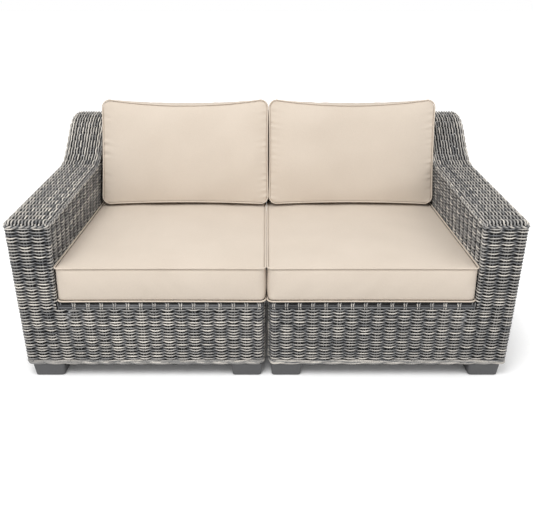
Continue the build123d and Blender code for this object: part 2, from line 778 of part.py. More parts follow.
def back_cushion():
    """Cover with its fibre wrap, fill block, piping and zip of the back cushion."""
    pillow = back_pillow()
    left, right, _, top = pillow.box
    boxing = back_cushion_boxing
    body = pillow.solid(crown_levels(0.0, -back_cushion_rear_crown, back_crown_insets)[::-1]
                        + crown_levels(boxing, back_cushion_crown, back_crown_insets))
    block = slab(left + foam_inset, right - foam_inset, foam_inset, top - 2 * foam_inset,
                 foam_skin, boxing - foam_skin)
    fill = pillow.plane * block
    middle_x = (left + right) / 2
    zip_y = back_cushion_corner + zip_tape
    pocket = pillow.plane * slab(
        middle_x - zip_length / 2, middle_x + zip_length / 2, zip_y - zip_tape / 2,
        zip_y + zip_tape / 2, -back_cushion_rear_crown - overrun, zip_pocket)
    place = Plane(origin=pillow.plane.from_local_coords(Vector(middle_x, zip_y, zip_pocket)),
                  x_dir=(-1, 0, 0), z_dir=-pillow.plane.z_dir)
    return {"back_cover": body - fill - pocket, "back_fill": fill,
            "back_piping": [pillow.piping(0.0, -1), pillow.piping(boxing, 1)],
            "back_zip": place * zip_strip(), "back_zip_slider": place * zip_slider()}


# Assembly

def left_module():
    """Every piece of the left module, by name."""
    pieces = {"base_frame": base_frame(), "arm_frame": arm_frame(), "back_frame": back_frame(),
              "arm_weave": arm_weave(), "back_weave": back_weave(),
              "bottom_braid": bottom_braid(), "deck_webbing": deck_webbing(),
              "foot_bolts": foot_bolts()}
    pieces.update(aprons())
    for name, (x, y) in foot_places().items():
        pieces["foot_" + name] = Pos(x, y, 0) * foot(name)
        pieces["glide_" + name] = Pos(x, y, 0) * glide()
    pieces.update(seat_cushion())
    pieces.update(back_cushion())
    return pieces


def write(name, shape):
    """Write one node, moved so that the origin is in the middle of the loveseat."""
    solids = shape if isinstance(shape, list) else [shape]
    moved = [Pos(0, -depth / 2, 0) * s for s in solids]
    export_step(moved[0] if len(moved) == 1 else Compound(children=moved),
                os.path.join("parts", name + ".step"))


def main():
    os.makedirs("parts", exist_ok=True)
    for name, shape in left_module().items():
        solids = shape if isinstance(shape, list) else [shape]
        write("left_" + name, shape)
        write("right_" + name, [mirror(s, about=Plane.YZ) for s in solids])


main()
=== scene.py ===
# %% [markdown]
# # A woven patio loveseat in two halves
#
# The real seat is a pair of armed modules. Each has a welded tube frame, a skin of round
# synthetic strands woven by hand over pairs of thin stakes, and two boxed cushions with piping.
# The frame of this scene is the solid model of it: every piece made here lies on that model and
# moves with one of its bodies. The strands could be painted on flat walls with a bump map, but
# light, gaps and outline would be wrong close up, so every strand is modelled.

import math

import bpy
import numpy as np
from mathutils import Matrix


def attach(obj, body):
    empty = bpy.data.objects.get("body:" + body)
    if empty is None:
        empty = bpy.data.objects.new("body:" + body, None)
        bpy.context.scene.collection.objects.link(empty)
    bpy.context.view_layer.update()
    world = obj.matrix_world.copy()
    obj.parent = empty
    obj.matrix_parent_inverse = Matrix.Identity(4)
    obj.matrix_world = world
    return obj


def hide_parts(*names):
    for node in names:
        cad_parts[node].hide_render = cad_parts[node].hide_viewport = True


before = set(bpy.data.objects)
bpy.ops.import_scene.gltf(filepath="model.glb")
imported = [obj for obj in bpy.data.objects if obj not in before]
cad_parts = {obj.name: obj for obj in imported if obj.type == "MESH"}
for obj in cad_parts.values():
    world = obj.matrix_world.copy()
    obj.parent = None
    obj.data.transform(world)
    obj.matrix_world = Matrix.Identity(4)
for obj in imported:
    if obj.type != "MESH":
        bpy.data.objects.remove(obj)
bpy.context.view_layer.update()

# %% [markdown]
# ## Sizes and outlines
#
# The sizes repeat those of the solid model, in metres. While a piece is worked out, y counts
# from the front plane towards the back; it is shifted to the middle of the seat at the end. The
# left module is worked out and the right one is mirrored, with its own random numbers, so the two
# are not twins.
#
# Every outline is straight stretches and arcs, as a tube frame is bent. It could be a curve
# drawn by eye. Here a line is a table of steps, so that a point can be asked for at any distance
# along it, together with the direction there.

# %% Sizes
depth = 1.025                   # front plane to the rearmost line of the back
module_width = 0.876            # outer arm face to the face beside the other module
module_gap = 0.002              # between the two modules
arm_width = 0.155
arm_front = 0.601               # top of the arm at the front, before its edge is rounded
back_height = 0.790             # top of the woven back
deck_top = 0.302                # top of the seat webbing
skin_foot = 0.0736              # lower edge of the rows
braid_foot = 0.0513             # lower edge of the bottom border
arm_slope = math.radians(2.15)  # of the arm's top, up towards the back
steep = math.radians(40)        # steepest part of the S-curve
lean = math.radians(15)         # of the back's front face
rake = math.radians(4.5)        # of the back's rear face
front_bend = 0.022              # rounding of the arm's top over its front face
rear_bend = 0.026               # rounding of the back's top over its rear face
back_bend = 0.022               # rounding of the back's top over its front face
edge = 0.020                    # rounding of the arm's long edges and of the outer corners
hollow_share = 1.11             # radius of the S-curve's lower bend, as a share of its rise
crown_share = 1.13              # radius of its upper bend, as a share of its rise
top_flat = 0.033                # level stretch from the S-curve to the rounded rear edge
back_flat = 0.064               # level stretch between the back's two rounded top edges
x_inner = -module_gap / 2
x_outer = x_inner - module_width
x_arm = x_outer + arm_width

# %% Sizes of the weave
strand = 0.0024                 # radius of a strand
away = 0.0047                   # how far a strand swings to the front and to the back
aside = 0.0019                  # how far a strand moves up or down where two of them cross
inset = 0.0072                  # the middle of the weave below the outer face of the solid
row_pitch = 0.0108
stake_pitch = 0.046             # from one pair of stakes to the next
stake = 0.0018                  # radius of a stake
stake_apart = 0.0046            # from a stake to the middle of its pair
print("module from x", round(x_outer, 3), "to", round(x_inner, 3), "with rows", row_pitch, "apart")


# %% Lines made of straight stretches and arcs
def route(start, heading, steps):
    """Rows of x, y, heading, turn and length, one for each (length, turn) step.

    After the share f of a step the point has moved L f sinc(T f / 2) along heading + T f / 2,
    with length L and turn T: the chord of the arc so far, which for T = 0 is the straight line.
    """
    rows, place, angle = [], np.array(start, float), heading
    for length, turn in steps:
        rows.append((*place, angle, turn, length))
        place = place + length * np.sinc(turn / 2 / np.pi) * np.array(
            [math.cos(angle + turn / 2), math.sin(angle + turn / 2)])
        angle += turn
    return np.array(rows)


def cornered(corners, radii):
    """A route through corner points, rounded by radius r: a corner that turns by T takes
    r tan(T/2) off both of its sides and adds an arc of length r T."""
    corners = np.array(corners)
    legs = np.diff(corners, axis=0)
    lengths, headings = np.hypot(*legs.T), np.arctan2(legs[:, 1], legs[:, 0])
    turns = (np.diff(headings) + np.pi) % (2 * np.pi) - np.pi
    cut = np.array(radii) * np.tan(abs(turns) / 2)
    straight = lengths - np.append(cut, 0) - np.append(0, cut)
    steps = []
    for i, length in enumerate(straight):
        steps.append((length, 0.0))
        if i < len(turns):
            steps.append((radii[i] * abs(turns[i]), turns[i]))
    return route(corners[0], headings[0], steps)


def places(rows, s):
    """Step number and share of that step at distances s along a route."""
    ends = np.cumsum(rows[:, 4])
    step = np.minimum(np.searchsorted(ends, s), len(rows) - 1)
    share = (s - ends[step] + rows[step, 4]) / rows[step, 4]
    return step, np.clip(share, 0, 1)


def walk(rows, step, share):
    """Points and headings at shares of steps, by the chord formula of route()."""
    x, y, angle, turn, length = rows[step].T
    half = turn * share / 2
    reach = length * share * np.sinc(half / np.pi)
    points = np.stack([x + reach * np.cos(angle + half), y + reach * np.sin(angle + half)], -1)
    return points, angle + 2 * half


# %% [markdown]
# ## The S-curved side
#
# Seen from the side, the arm's top rises a little, swings up in an S-curve and runs into the top
# of the back. The two bends of the S have their radii as shares of its rise, so the curve keeps
# its form at any height. The place where it starts follows from the sizes above: a line of known
# slope has to meet a curve of known proportions that ends at a known point.

# %% The side outline of arm and back
arm_grade = math.tan(arm_slope)
rear_centre = np.array([depth - rear_bend, back_height - rear_bend])
ramp_share = (1 - hollow_share * (math.cos(arm_slope) - math.cos(steep))
              - crown_share * (1 - math.cos(steep))) / math.sin(steep)
run_share = (hollow_share * (math.sin(steep) - math.sin(arm_slope))
             + ramp_share * math.cos(steep) + crown_share * math.sin(steep))
s_end_y = rear_centre[0] - top_flat
s_start_z = (arm_front + arm_grade * (s_end_y - run_share * back_height)) / (
    1 - arm_grade * run_share)
rise = back_height - s_start_z
s_start_y = s_end_y - run_share * rise
front_z = arm_front + arm_grade * front_bend - front_bend / math.cos(arm_slope)
front_turn = math.pi / 2 - arm_slope
arc_end = np.array([front_bend * (1 - math.sin(arm_slope)),
                    front_z + front_bend * math.cos(arm_slope)])
arm_profile = route((0, front_z), math.pi / 2, [
    (front_bend * front_turn, -front_turn),
    ((s_start_y - arc_end[0]) / math.cos(arm_slope), 0),
    (hollow_share * rise * (steep - arm_slope), steep - arm_slope),
    (ramp_share * rise, 0),
    (crown_share * rise * steep, -steep),
    (top_flat, 0),
    (rear_bend * (math.pi / 2 + rake), -(math.pi / 2 + rake))])
back_centre = rear_centre - (back_flat, back_bend - rear_bend)
front_touch = back_centre + back_bend * np.array([-math.cos(lean), math.sin(lean)])
rear_touch = rear_centre + rear_bend * np.array([math.cos(rake), -math.sin(rake)])
lead = 0.006                    # straight start of the back's rows, below its rounding
back_profile = route(front_touch - lead * np.array([math.sin(lean), math.cos(lean)]),
                     math.pi / 2 - lean, [
    (lead, 0), (back_bend * (math.pi / 2 - lean), lean - math.pi / 2), (back_flat, 0),
    (rear_bend * (math.pi / 2 + rake), -(math.pi / 2 + rake))])


def rear_y(z):
    """The raked rear face at height z: its touching point's y, less the drop below that point
    times the tangent of the rake."""
    return rear_touch[0] - (rear_touch[1] - z) * math.tan(rake)


def back_y(z):
    """The leaning front face of the back at height z: its touching point's y, less the drop
    below that point times the tangent of the lean."""
    return front_touch[0] - (front_touch[1] - z) * math.tan(lean)


print("arm line", round(s_start_y, 3), round(s_start_z, 3), "profile length",
      round(float(arm_profile[:, 4].sum()), 3))


# %% [markdown]
# ## The loops of the rows
#
# A weaver works round the module, row upon row. Seen from above, each row is a closed loop with
# rounded corners: round the base below the seat, and round arm and back above it. The loops
# change with the height, because the faces of the back slope. The rows could be cut from the
# solid's surface, but a formula for each loop also gives every point its place along the row,
# which the stakes and the crossings need.

# %% Plan loops that the rows of the weave follow
inner_bend = 0.030              # corners of the base beside the other module
hollow_corner = 0.008           # between the arm's inner side and the back
seam = x_inner - 0.031          # where the two ends of a row meet, at the rear
x_facing = x_inner - 0.0025     # face of the rows beside the other module


def base_loop(z):
    """Round the base at height z: rear, outer side, front, and the side that faces the other
    module."""
    rear = rear_y(z)
    return cornered([(seam, rear), (x_outer, rear), (x_outer, 0), (x_facing, 0), (x_facing, rear),
                     (seam, rear)], [edge, edge, inner_bend, inner_bend])


def upper_loop(z):
    """Round arm and back at height z: rear, outer side, arm front, arm's inner side, back."""
    rear, back = rear_y(z), back_y(z)
    return cornered([(seam, rear), (x_outer, rear), (x_outer, 0), (x_arm, 0), (x_arm, back),
                     (x_facing, back), (x_facing, rear), (seam, rear)],
                    [edge, edge, edge, hollow_corner, edge, edge])


# Rear, outer side and arm front, which the two loops share
shared = upper_loop(deck_top)[:5, 4].sum()


def beat(loop):
    """Distances along a loop, and the stake counts that belong to them.

    The stretch that base and arm share has one stake for each stake pitch. The rest of the loop
    has its own even spacing, chosen so that the whole loop holds an even number of stakes.
    """
    total = loop[:, 4].sum()
    count = 2 * round(total / stake_pitch / 2)
    return np.array([0, shared, total]), np.array([0, shared / stake_pitch, count])


print("stakes round the base", beat(base_loop(deck_top))[1][-1],
      "round arm and back", beat(upper_loop(deck_top))[1][-1])

# %% [markdown]
# ## Mesh helpers
#
# All of the weave is round bars along lines. A curve object with a bevel would do it, but one
# mesh with many bars is lighter, exports as it is and can carry a colour value for each strand.
# The value is stored as the attribute "tone", from 0, dark, to 1, pale, and the material reads it.


# %% Meshes from arrays
def new_mesh(name, side, points, faces, tones=None, uvs=None):
    """An object from points and groups of faces of equal size, mirrored for the right side."""
    sign = 1 if side == "left" else -1
    points = points * (sign, 1, 1) - (0, depth / 2, 0)
    if sign < 0:
        faces = [group[:, ::-1] for group in faces]
        uvs = None if uvs is None else [group[:, ::-1] for group in uvs]
    mesh = bpy.data.meshes.new(name)
    mesh.vertices.add(len(points))
    mesh.vertices.foreach_set("co", points.astype(np.float32).ravel())
    corners = np.concatenate([group.ravel() for group in faces])
    sizes = np.concatenate([np.full(len(group), group.shape[1]) for group in faces])
    mesh.loops.add(len(corners))
    mesh.loops.foreach_set("vertex_index", corners.astype(np.int32))
    mesh.polygons.add(len(sizes))
    mesh.polygons.foreach_set("loop_start", (np.cumsum(sizes) - sizes).astype(np.int32))
    mesh.polygons.foreach_set("use_smooth", np.ones(len(sizes), bool))
    mesh.update(calc_edges=True)
    if uvs is not None:
        layer = mesh.uv_layers.new(name="cloth")
        flat_uvs = np.concatenate([group.reshape(-1) for group in uvs])
        layer.data.foreach_set("uv", flat_uvs.astype(np.float32))
    if tones is not None:
        layer = mesh.attributes.new("tone", "FLOAT", "POINT")
        layer.data.foreach_set("value", tones.astype(np.float32))
    obj = bpy.data.objects.new(f"{side}_{name}", mesh)
    bpy.context.scene.collection.objects.link(obj)
    return obj


def unit(vectors):
    """Vectors scaled to length one."""
    return vectors / np.linalg.norm(vectors, axis=-1, keepdims=True)


def bar(centres, outward, radius, sides=5):
    """Points and faces of a closed round bar along centres.

    Ring i is centre + r cos a * n + r sin a * b, with t the direction of the line at i,
    b = t x outward made unit, and n = b x t, so n points outwards as far as the line allows.
    """
    t = unit(np.gradient(centres, axis=0))
    b = unit(np.cross(t, outward))
    n = np.cross(b, t)
    a = 2 * np.pi * np.arange(sides) / sides
    radius = np.broadcast_to(radius, len(centres))[:, None, None]
    rings = centres[:, None] + radius * (np.cos(a)[:, None] * n[:, None]
                                         + np.sin(a)[:, None] * b[:, None])
    k = np.arange(sides)
    first = np.arange(len(centres) - 1)[:, None] * sides
    here, there = first + k, first + (k + 1) % sides
    quads = np.stack([here, there, there + sides, here + sides], -1).reshape(-1, 4)
    ends = np.stack([k[::-1], k + (len(centres) - 1) * sides])
    return rings.reshape(-1, 3), quads, ends


def flared(points):
    """Hand-woven sides aren't quite upright: each face of the arm has a sideways shift by height.

    Between the two faces the shift goes evenly from one to the other, and past the inner face it
    fades out over a tenth of a metre.
    """
    x, _, z = points.T
    outer = np.interp(z, [0.06, 0.60], [0.005, -0.002])
    inner = np.interp(z, [0.06, 0.30, 0.43, 0.59], [0.0, -0.008, -0.006, 0.003])
    share = np.clip((x_arm - x) / arm_width, 0, 1)
    fade = np.clip(1 - (x - x_arm) / 0.1, 0, 1)
    return points + ((share * outer + (1 - share) * inner) * fade)[:, None] * (1, 0, 0)


def bars(name, side, lines, sides=5):
    """One object from (centres, outward, radius, tone) lines.

    The face numbers of each bar are raised by the number of points before it.
    """
    points, quads, ends, tones, count = [], [], [], [], 0
    for centres, outward, radius, tone in lines:
        p, q, e = bar(centres, outward, radius, sides)
        points.append(p)
        quads.append(q + count)
        ends.append(e + count)
        tones.append(np.repeat(np.broadcast_to(tone, len(centres)), sides))
        count += len(p)
    return new_mesh(name, side, flared(np.concatenate(points)),
                    [np.concatenate(quads), np.concatenate(ends)], np.concatenate(tones))


def wander(rng, count, knots, closed=True):
    """A smooth random line of values about zero: random knots joined by cosine steps.

    Between the knots a and b, at the share f, the value is a + (b - a)(1 - cos pi f) / 2.
    """
    values = rng.normal(0, 1, max(int(knots), 2) + 1)
    if closed:
        values[0] = values[-1] = 0
    place = np.linspace(0, len(values) - 1, count)
    low = np.minimum(place.astype(int), len(values) - 2)
    blend = (1 - np.cos(np.pi * (place - low))) / 2
    return values[low] * (1 - blend) + values[low + 1] * blend


def shades(rng, count, length, base):
    """Tone along a strand: its own level plus 0.08 times a slow wander, with a knot for every
    tenth of a metre, kept between 0 and 1."""
    return np.clip(base + 0.08 * wander(rng, count, length / 0.1, False), 0, 1)


# %% [markdown]
# ## Two strands that change places
#
# A row of this weave is a pair of strands. At one pair of stakes the first passes in front and
# the second behind, then they cross, one above the other, and at the next pair they have changed
# places. Both strands come from the same formula, half a wave apart. A rope is the same pair,
# twisted instead. A strand is painted darker where it lies behind: painted shade, as the light
# seldom gets there.
#
# The real wall is two layers of strand thick. Only its outer layer is modelled in full. A plain
# strand behind each gap stands for the rest, painted nearly black as painted shade, so that no
# light shows through the wall.


# %% Pairs and ropes
strand_tones = [0.62, 0.72, 0.81, 0.93]
tone_shares = [0.20, 0.32, 0.30, 0.18]
wall_dip = 0.0014               # how far a strand lies below its line in front, above it behind


def pair(rng, mid, outward, q, reach=(away, aside), radius=strand, base=None, dip=0.0,
         crossing=0.5):
    """Two strands about a middle line: at the phase p = pi (q + k) strand k lies at
    mid + away c * outward + h * sideways, with sideways across the row.

    In a row, c is |cos p|^0.9 with the sign of cos p, so a strand stays in front of its stakes
    and then crosses quickly, and h is aside sin^4 p for one strand and the opposite for the
    other, less dip c for both. In a rope, which has a base tone of its own, c is cos p and h is
    aside sin p, so the strands turn round each other. crossing is the light that a strand keeps
    where the two cross."""
    t = unit(np.gradient(mid, axis=0))
    sideways = np.cross(outward, t)
    length = np.linalg.norm(np.diff(mid, axis=0), axis=1).sum()
    lines = []
    upper = rng.choice([-1, 1])
    for k in range(2):
        p = np.pi * (q + k)
        slack = 1 + 0.10 * wander(rng, len(mid), length / 0.07)
        front, swing = np.cos(p), np.sin(p)
        if base is None:
            front = np.sign(front) * abs(front) ** 0.9
            swing = upper * (1 - 2 * k) * swing ** 4
        out = reach[0] * front * np.minimum(slack, 1.05)
        across = reach[1] * swing * slack - dip * front
        tone = rng.choice(strand_tones, p=tone_shares)
        tone = tone if base is None else base + 0.1 * rng.normal()
        # painted shade: darker where the strand lies behind, where little light gets
        lit = 0.05 + 0.95 * np.clip(crossing + 0.6 * np.cos(p), 0, 1)
        lines.append((mid + out[:, None] * outward + across[:, None] * sideways, outward, radius,
                      shades(rng, len(mid), length, tone) * lit))
    return lines


def upright(heading):
    """The outward direction of a wall beside a route that goes counterclockwise: its heading h
    turned a quarter to the right, which is (sin h, -cos h, 0)."""
    return np.stack([np.sin(heading), -np.cos(heading), np.zeros_like(heading)], -1)


def rear_strand(line, outward):
    """A dark strand behind the stakes, in the gap between two rows, which closes the view. Its
    nearly black tone is painted shade.

    It is thick and plain, 7.8 mm behind the middle of the weave, with every second point only.
    """
    line, outward = line[::2], outward[::2]
    # painted shade: the tone of 0.05 stands for the wall's shaded inner layer
    return [(line - 0.0078 * outward, outward, 0.0034, np.full(len(line), 0.05))]


def wall_row(rng, loop, z, q, fan=0.0, sag=0.0006):
    """A pair of strands round a wall, with a rear strand half a row above it.

    Point i lies at the stake count q i. Its height is z + fan * y * the grade of the arm's top,
    up to the S-curve, so fan is the share of the arm's slope that the row follows.
    """
    s_at, q_at = beat(loop(deck_top))
    step, share = places(loop(deck_top), np.interp(q, q_at, s_at))
    rows = loop(z + fan * arm_grade * s_start_y)
    flat, heading = walk(rows, step, share)
    outward = upright(heading)
    height = z + fan * arm_grade * np.clip(flat[:, 1], 0, s_start_y)
    height = height + sag * wander(rng, len(q), len(q) / 12)
    mid = np.column_stack([flat, height]) - inset * outward
    gap = mid + (0, 0, row_pitch / 2)
    return pair(rng, mid, outward, q, dip=wall_dip) + rear_strand(gap, outward)


def fifths(q0, q1):
    """Stake counts from q0 to q1 in steps of one fifth, with both ends."""
    inner = np.arange(math.floor(q0 * 5) + 1, math.ceil(q1 * 5)) / 5
    return np.concatenate([[q0], inner, [q1]])


# %% [markdown]
# ## Surfaces over the top
#
# On the tops of arm and back the rows lie on a surface that bends both ways. Flat rows could be
# bent onto it with a lattice or a shrinkwrap. Here the side outline is carried along a section
# across it, by formula, so that every row can be counted and every strand keeps its depth.

# %% Surfaces over the top: a profile swept across a section
def shell(profile, section, t, w):
    """Points and outward directions at distances t along a profile and w along a section.

    The profile runs in (y, z) with its outward side on the left, and n is its normal. The
    section runs in (x, m), and its point lies at x across and m along n.
    """
    line, heading = walk(profile, *places(profile, t))
    n = np.stack([-np.sin(heading), np.cos(heading)], -1)
    cross, turn = walk(section, *places(section, w))
    across, lift = -np.sin(turn), np.cos(turn)
    points = np.column_stack([cross[:, 0], line + cross[:, 1:] * n])
    outward = np.column_stack([across, lift[:, None] * n])
    return points, outward


arm_lap = 0.007                 # how far the top rows reach down both sides
back_start = x_arm + 0.003      # where the rows of the back's top begin, beside the arm
arm_section = route((x_outer, -edge - arm_lap), math.pi / 2, [
    (arm_lap, 0), (edge * math.pi / 2, -math.pi / 2), (arm_width - 2 * edge, 0),
    (edge * math.pi / 2, -math.pi / 2), (arm_lap, 0)])
back_section = route((back_start, 0), 0, [
    (x_inner - edge - back_start, 0), (edge * math.pi / 2, -math.pi / 2)])
arm_length, arm_across = arm_profile[:, 4].sum(), arm_section[:, 4].sum()
back_length, back_across = back_profile[:, 4].sum(), back_section[:, 4].sum()
print("arm's top", round(float(arm_length), 3), "by", round(float(arm_across), 3),
      "back's top", round(float(back_length), 3), "by", round(float(back_across), 3))

# %% [markdown]
# ## The woven walls
#
# Rows run round the base from the braid to the seat, then round arm and back together. On the
# arm they fan a little, because its top slopes. Behind the arm's S-curve they run only as far as
# the curve. The top of the arm has its own rows, which run lengthwise, and the top of the back
# has rows that follow its length.

# %% Heights and limits of the rows
base_rows = 20
clearance = 0.0003              # gap between pieces that only lie against each other
base_pitch = (deck_top + clearance - skin_foot) / base_rows
arm_rows = 25
top_row = 0.577                 # height of the arm's last row, at the front
arm_pitch = (top_row - deck_top - row_pitch / 2) / (arm_rows - 1)
curve_inset = 0.015             # where the rows end, inside the side outline
sampled = np.linspace(0, arm_length, 1600)
side_line, side_heading = walk(arm_profile, *places(arm_profile, sampled))
side_in = side_line - curve_inset * np.stack([-np.sin(side_heading), np.cos(side_heading)], -1)
climb = (sampled > arm_profile[:2, 4].sum()) & (sampled < arm_profile[:5, 4].sum())
print("row pitch of base and arm", round(base_pitch, 5), round(arm_pitch, 5))


def curve_y(z):
    """Where a row at height z meets the S-curve, 15 mm inside its outline."""
    return np.interp(z, side_in[climb, 1], side_in[climb, 0])


def count_at(loop, z, step, y):
    """The stake count at depth y on one straight step of a loop.

    The share of the step up to y is the same in the loop at the seat's height, which is the one
    that the stakes are counted on.
    """
    rows, ref = loop(z), loop(deck_top)
    share = (y - rows[step, 1]) / (rows[step + 1, 1] - rows[step, 1])
    s_at, q_at = beat(ref)
    return np.interp(ref[:step, 4].sum() + share * ref[step, 4], s_at, q_at)


def base_strands(rng):
    """Rows round the base; the top two leave out what lies beside the rod."""
    s_at, q_at = beat(base_loop(deck_top))
    lines = []
    for k in range(base_rows):
        z = skin_foot + base_pitch * (k + 0.5)
        if k < base_rows - 2:
            lines += wall_row(rng, base_loop, z, fifths(0, q_at[-1]))
        else:
            behind = count_at(base_loop, z, 6, back_y(z) + 0.006)
            lines += wall_row(rng, base_loop, z, fifths(0, q_at[1] + 0.35))
            lines += wall_row(rng, base_loop, z, fifths(behind, q_at[-1]))
            lines += rear_strand(*loop_stretch(base_loop, z, s_at[1], s_at[-1], inset, 400))
    return lines


def arm_strands(rng, first, last):
    """Rows round arm and back up to the arm's height, which fan out towards its sloping top."""
    stakes = beat(upper_loop(deck_top))[1][-1]
    lines = []
    for k in range(first, last):
        z = deck_top + row_pitch / 2 + arm_pitch * k
        fan = (z - deck_top) / (arm_front - deck_top)
        lines += wall_row(rng, upper_loop, z, fifths(0, stakes), fan)
    return lines


def back_strands(rng):
    """Rows above the arm's height, which end at the S-curve on both sides of the arm."""
    stakes = beat(upper_loop(deck_top))[1][-1]
    z = deck_top + row_pitch / 2 + arm_pitch * (arm_rows - 1)
    z += (z - deck_top) / (arm_front - deck_top) * arm_grade * s_start_y + row_pitch
    lines = []
    while z < rear_touch[1] - 0.002:
        y = curve_y(z)
        lines += wall_row(rng, upper_loop, z, fifths(0, count_at(upper_loop, z, 2, y)))
        lines += wall_row(rng, upper_loop, z, fifths(count_at(upper_loop, z, 6, y), stakes))
        z += row_pitch
    return lines


# %% Rows over the tops
arm_top_count, back_top_count = 17, 12
arm_top_pitch = 0.038           # from one pair of stakes to the next, on the arm's top
arm_beats = 2 * round(arm_length / arm_top_pitch / 2)
back_beats = back_across / stake_pitch
print("beats along the arm", arm_beats, "and along the back", round(float(back_beats), 1))


def top_strands(rng):
    """Lengthwise rows over the arm's top, its S-curve and its rounded edges."""
    lines = []
    hem = 0.009                 # the rows start this far along the profile
    q = fifths(hem / arm_length * arm_beats, arm_beats)
    t = q / arm_beats * arm_length
    for k in range(arm_top_count):
        w = np.full(len(t), arm_across * (k + 0.5) / arm_top_count)
        w = w + 0.0005 * wander(rng, len(t), len(t) / 10)
        points, outward = shell(arm_profile, arm_section, t, w)
        # the tops face the light, so their painted shade where strands cross is lighter
        lines += pair(rng, points - inset * outward, outward, q, (away, 0.0012), crossing=0.78)
        lower, normal = shell(arm_profile, arm_section, t, w + arm_across / arm_top_count / 2)
        lines += rear_strand(lower - inset * normal, normal)
    return lines


def crest_strands(rng):
    """Rows along the top of the back, bent down at its free end."""
    lines = []
    q = fifths(0, back_beats)
    w = q / back_beats * back_across
    for k in range(back_top_count):
        t = np.full(len(w), back_length * (k + 0.5) / back_top_count)
        points, outward = shell(back_profile, back_section, t, w)
        lines += pair(rng, points - inset * outward, outward, q)
    return lines


# %% [markdown]
# ## Stakes
#
# The stakes carry the rows. They are pairs of thin bars in the middle of the skin, and show as
# two fine grey lines in the gaps between the rows. Nobody would miss them behind a dense weave,
# but without them an open row would hang in the air.


# %% Stakes
def stake_tone(rng):
    """Tone of a stake under the rows of the tops, a little different on each."""
    return 0.28 + 0.12 * rng.random()


def stake_lines(rng, low, high, apart):
    """Two bars from low points to high ones, at both sides of the line between them."""
    lines = []
    for sign in (-1, 1):
        for a, b, shift in zip(low, high, apart):
            lines.append((np.stack([a + sign * shift, b + sign * shift]),
                          np.cross(b - a, shift)[None].repeat(2, 0), stake,
                          0.40 + 0.15 * rng.random()))
    return lines


def wall_stakes(rng, loop, z0, z1):
    """Pairs of stakes at whole counts of a loop, between two heights (or heights for each)."""
    s_at, q_at = beat(loop(deck_top))
    q = np.arange(1, int(q_at[-1]))
    step, share = places(loop(deck_top), np.interp(q, q_at, s_at))
    ends = []
    for z in (z0, z1):
        z = np.broadcast_to(z(step, share) if callable(z) else z, len(q))
        spots = [walk(loop(h), step[i:i + 1], share[i:i + 1]) for i, h in enumerate(z)]
        flat = np.concatenate([p for p, _ in spots])
        heading = np.concatenate([h for _, h in spots])
        ends.append(np.column_stack([flat, z]) - inset * upright(heading))
    aside_by = stake_apart * np.stack([np.cos(heading), np.sin(heading), 0 * heading], -1)
    return stake_lines(rng, ends[0], ends[1], aside_by)


def stake_top(step, share):
    """How high a stake of arm and back goes: to the arm's line, or to the top of the back."""
    flat, _ = walk(upper_loop(deck_top), step, share)
    under = np.interp(flat[:, 1], np.maximum.accumulate(side_in[:, 0]), side_in[:, 1])
    top = np.where((step >= 2) & (step <= 6), under, back_height - 0.024)
    return np.where(step < 2, rear_touch[1], top)


def top_stakes(rng):
    """Pairs of stakes across the arm's top and over the top of the back."""
    lines = []
    w = np.linspace(0, arm_across, 22)
    for q in range(1, arm_beats):
        for sign in (-1, 1):
            t = np.full(len(w), q / arm_beats * arm_length + sign * stake_apart)
            points, outward = shell(arm_profile, arm_section, t, w)
            lines.append((points - inset * outward, outward, stake, stake_tone(rng)))
    t = np.linspace(0, back_length, 18)
    for q in range(1, int(back_beats)):
        for sign in (-1, 1):
            w = np.full(len(t), q / back_beats * back_across + sign * stake_apart)
            points, outward = shell(back_profile, back_section, t, w)
            lines.append((points - inset * outward, outward, stake, stake_tone(rng)))
    return lines


# %% [markdown]
# ## Borders and the rod
#
# A rope of two strands closes the weave where rows of different direction meet. Along the foot
# runs a flat plait of three bundles, and a pair of rods, wrapped at every stake, edges the front
# panel under the cushion. All three could be textures on a strip. As bars they catch the light
# at their edges, and that is what makes a border look thick.


# %% Borders
def rope(rng, mid, outward, pitch=0.020, radius=0.0033, reach=(0.0027, 0.0030), base=0.62):
    """A two-strand rope along a middle line, one crossing for each pitch."""
    length = np.concatenate([[0], np.cumsum(np.linalg.norm(np.diff(mid, axis=0), axis=1))])
    s = np.linspace(0, length[-1], int(length[-1] / pitch * 6) + 2)
    mid = np.column_stack([np.interp(s, length, mid[:, i]) for i in range(3)])
    outward = unit(np.column_stack([np.interp(s, length, outward[:, i]) for i in range(3)]))
    return pair(rng, mid, outward, s / pitch, reach, radius, base)


def loop_stretch(loop, z, s0, s1, inside, count=160):
    """Middle line and outward directions along part of a loop, from s0 to s1 of its length. The
    line lies inside the loop by the given distance."""
    step, share = places(loop(z), np.linspace(s0, s1, count))
    flat, heading = walk(loop(z), step, share)
    outward = upright(heading)
    return np.column_stack([flat, np.full(count, z)]) - inside * outward, outward


def borders(rng):
    """Ropes across the arm's front, behind the arm's top, over the back's top beside the arm,
    along the arm's inner edge, and round the free end of the back's top."""
    z, lap, depth_in = 0.583, 0.012, 0.006
    rows = upper_loop(z)
    ends = np.cumsum(rows[:, 4])
    lines = rope(rng, *loop_stretch(upper_loop, z, ends[2] - lap, ends[5] + lap, depth_in))
    lines += rope(rng, *loop_stretch(upper_loop, rear_touch[1] + 0.001,
                                     rows[0, 4] - arm_width + 0.02, ends[1] + lap, depth_in))
    t = np.linspace(0, back_length, 60)
    points, outward = shell(back_profile, back_section, t, np.zeros(60))
    lines += rope(rng, points - (0.003, 0, 0) - 0.005 * outward, outward)
    t = np.linspace(0.03, arm_profile[:5, 4].sum(), 200)
    points, outward = shell(arm_profile, arm_section, t, np.full(200, arm_across - 0.008))
    lines += rope(rng, points - 0.004 * outward, outward, 0.024, 0.0029, (0.0024, 0.0026), 0.70)
    z = rear_touch[1] + 0.004
    start = np.cumsum(upper_loop(z)[:, 4])
    lines += rope(rng, *loop_stretch(upper_loop, z, start[8], start[11], depth_in))
    return lines


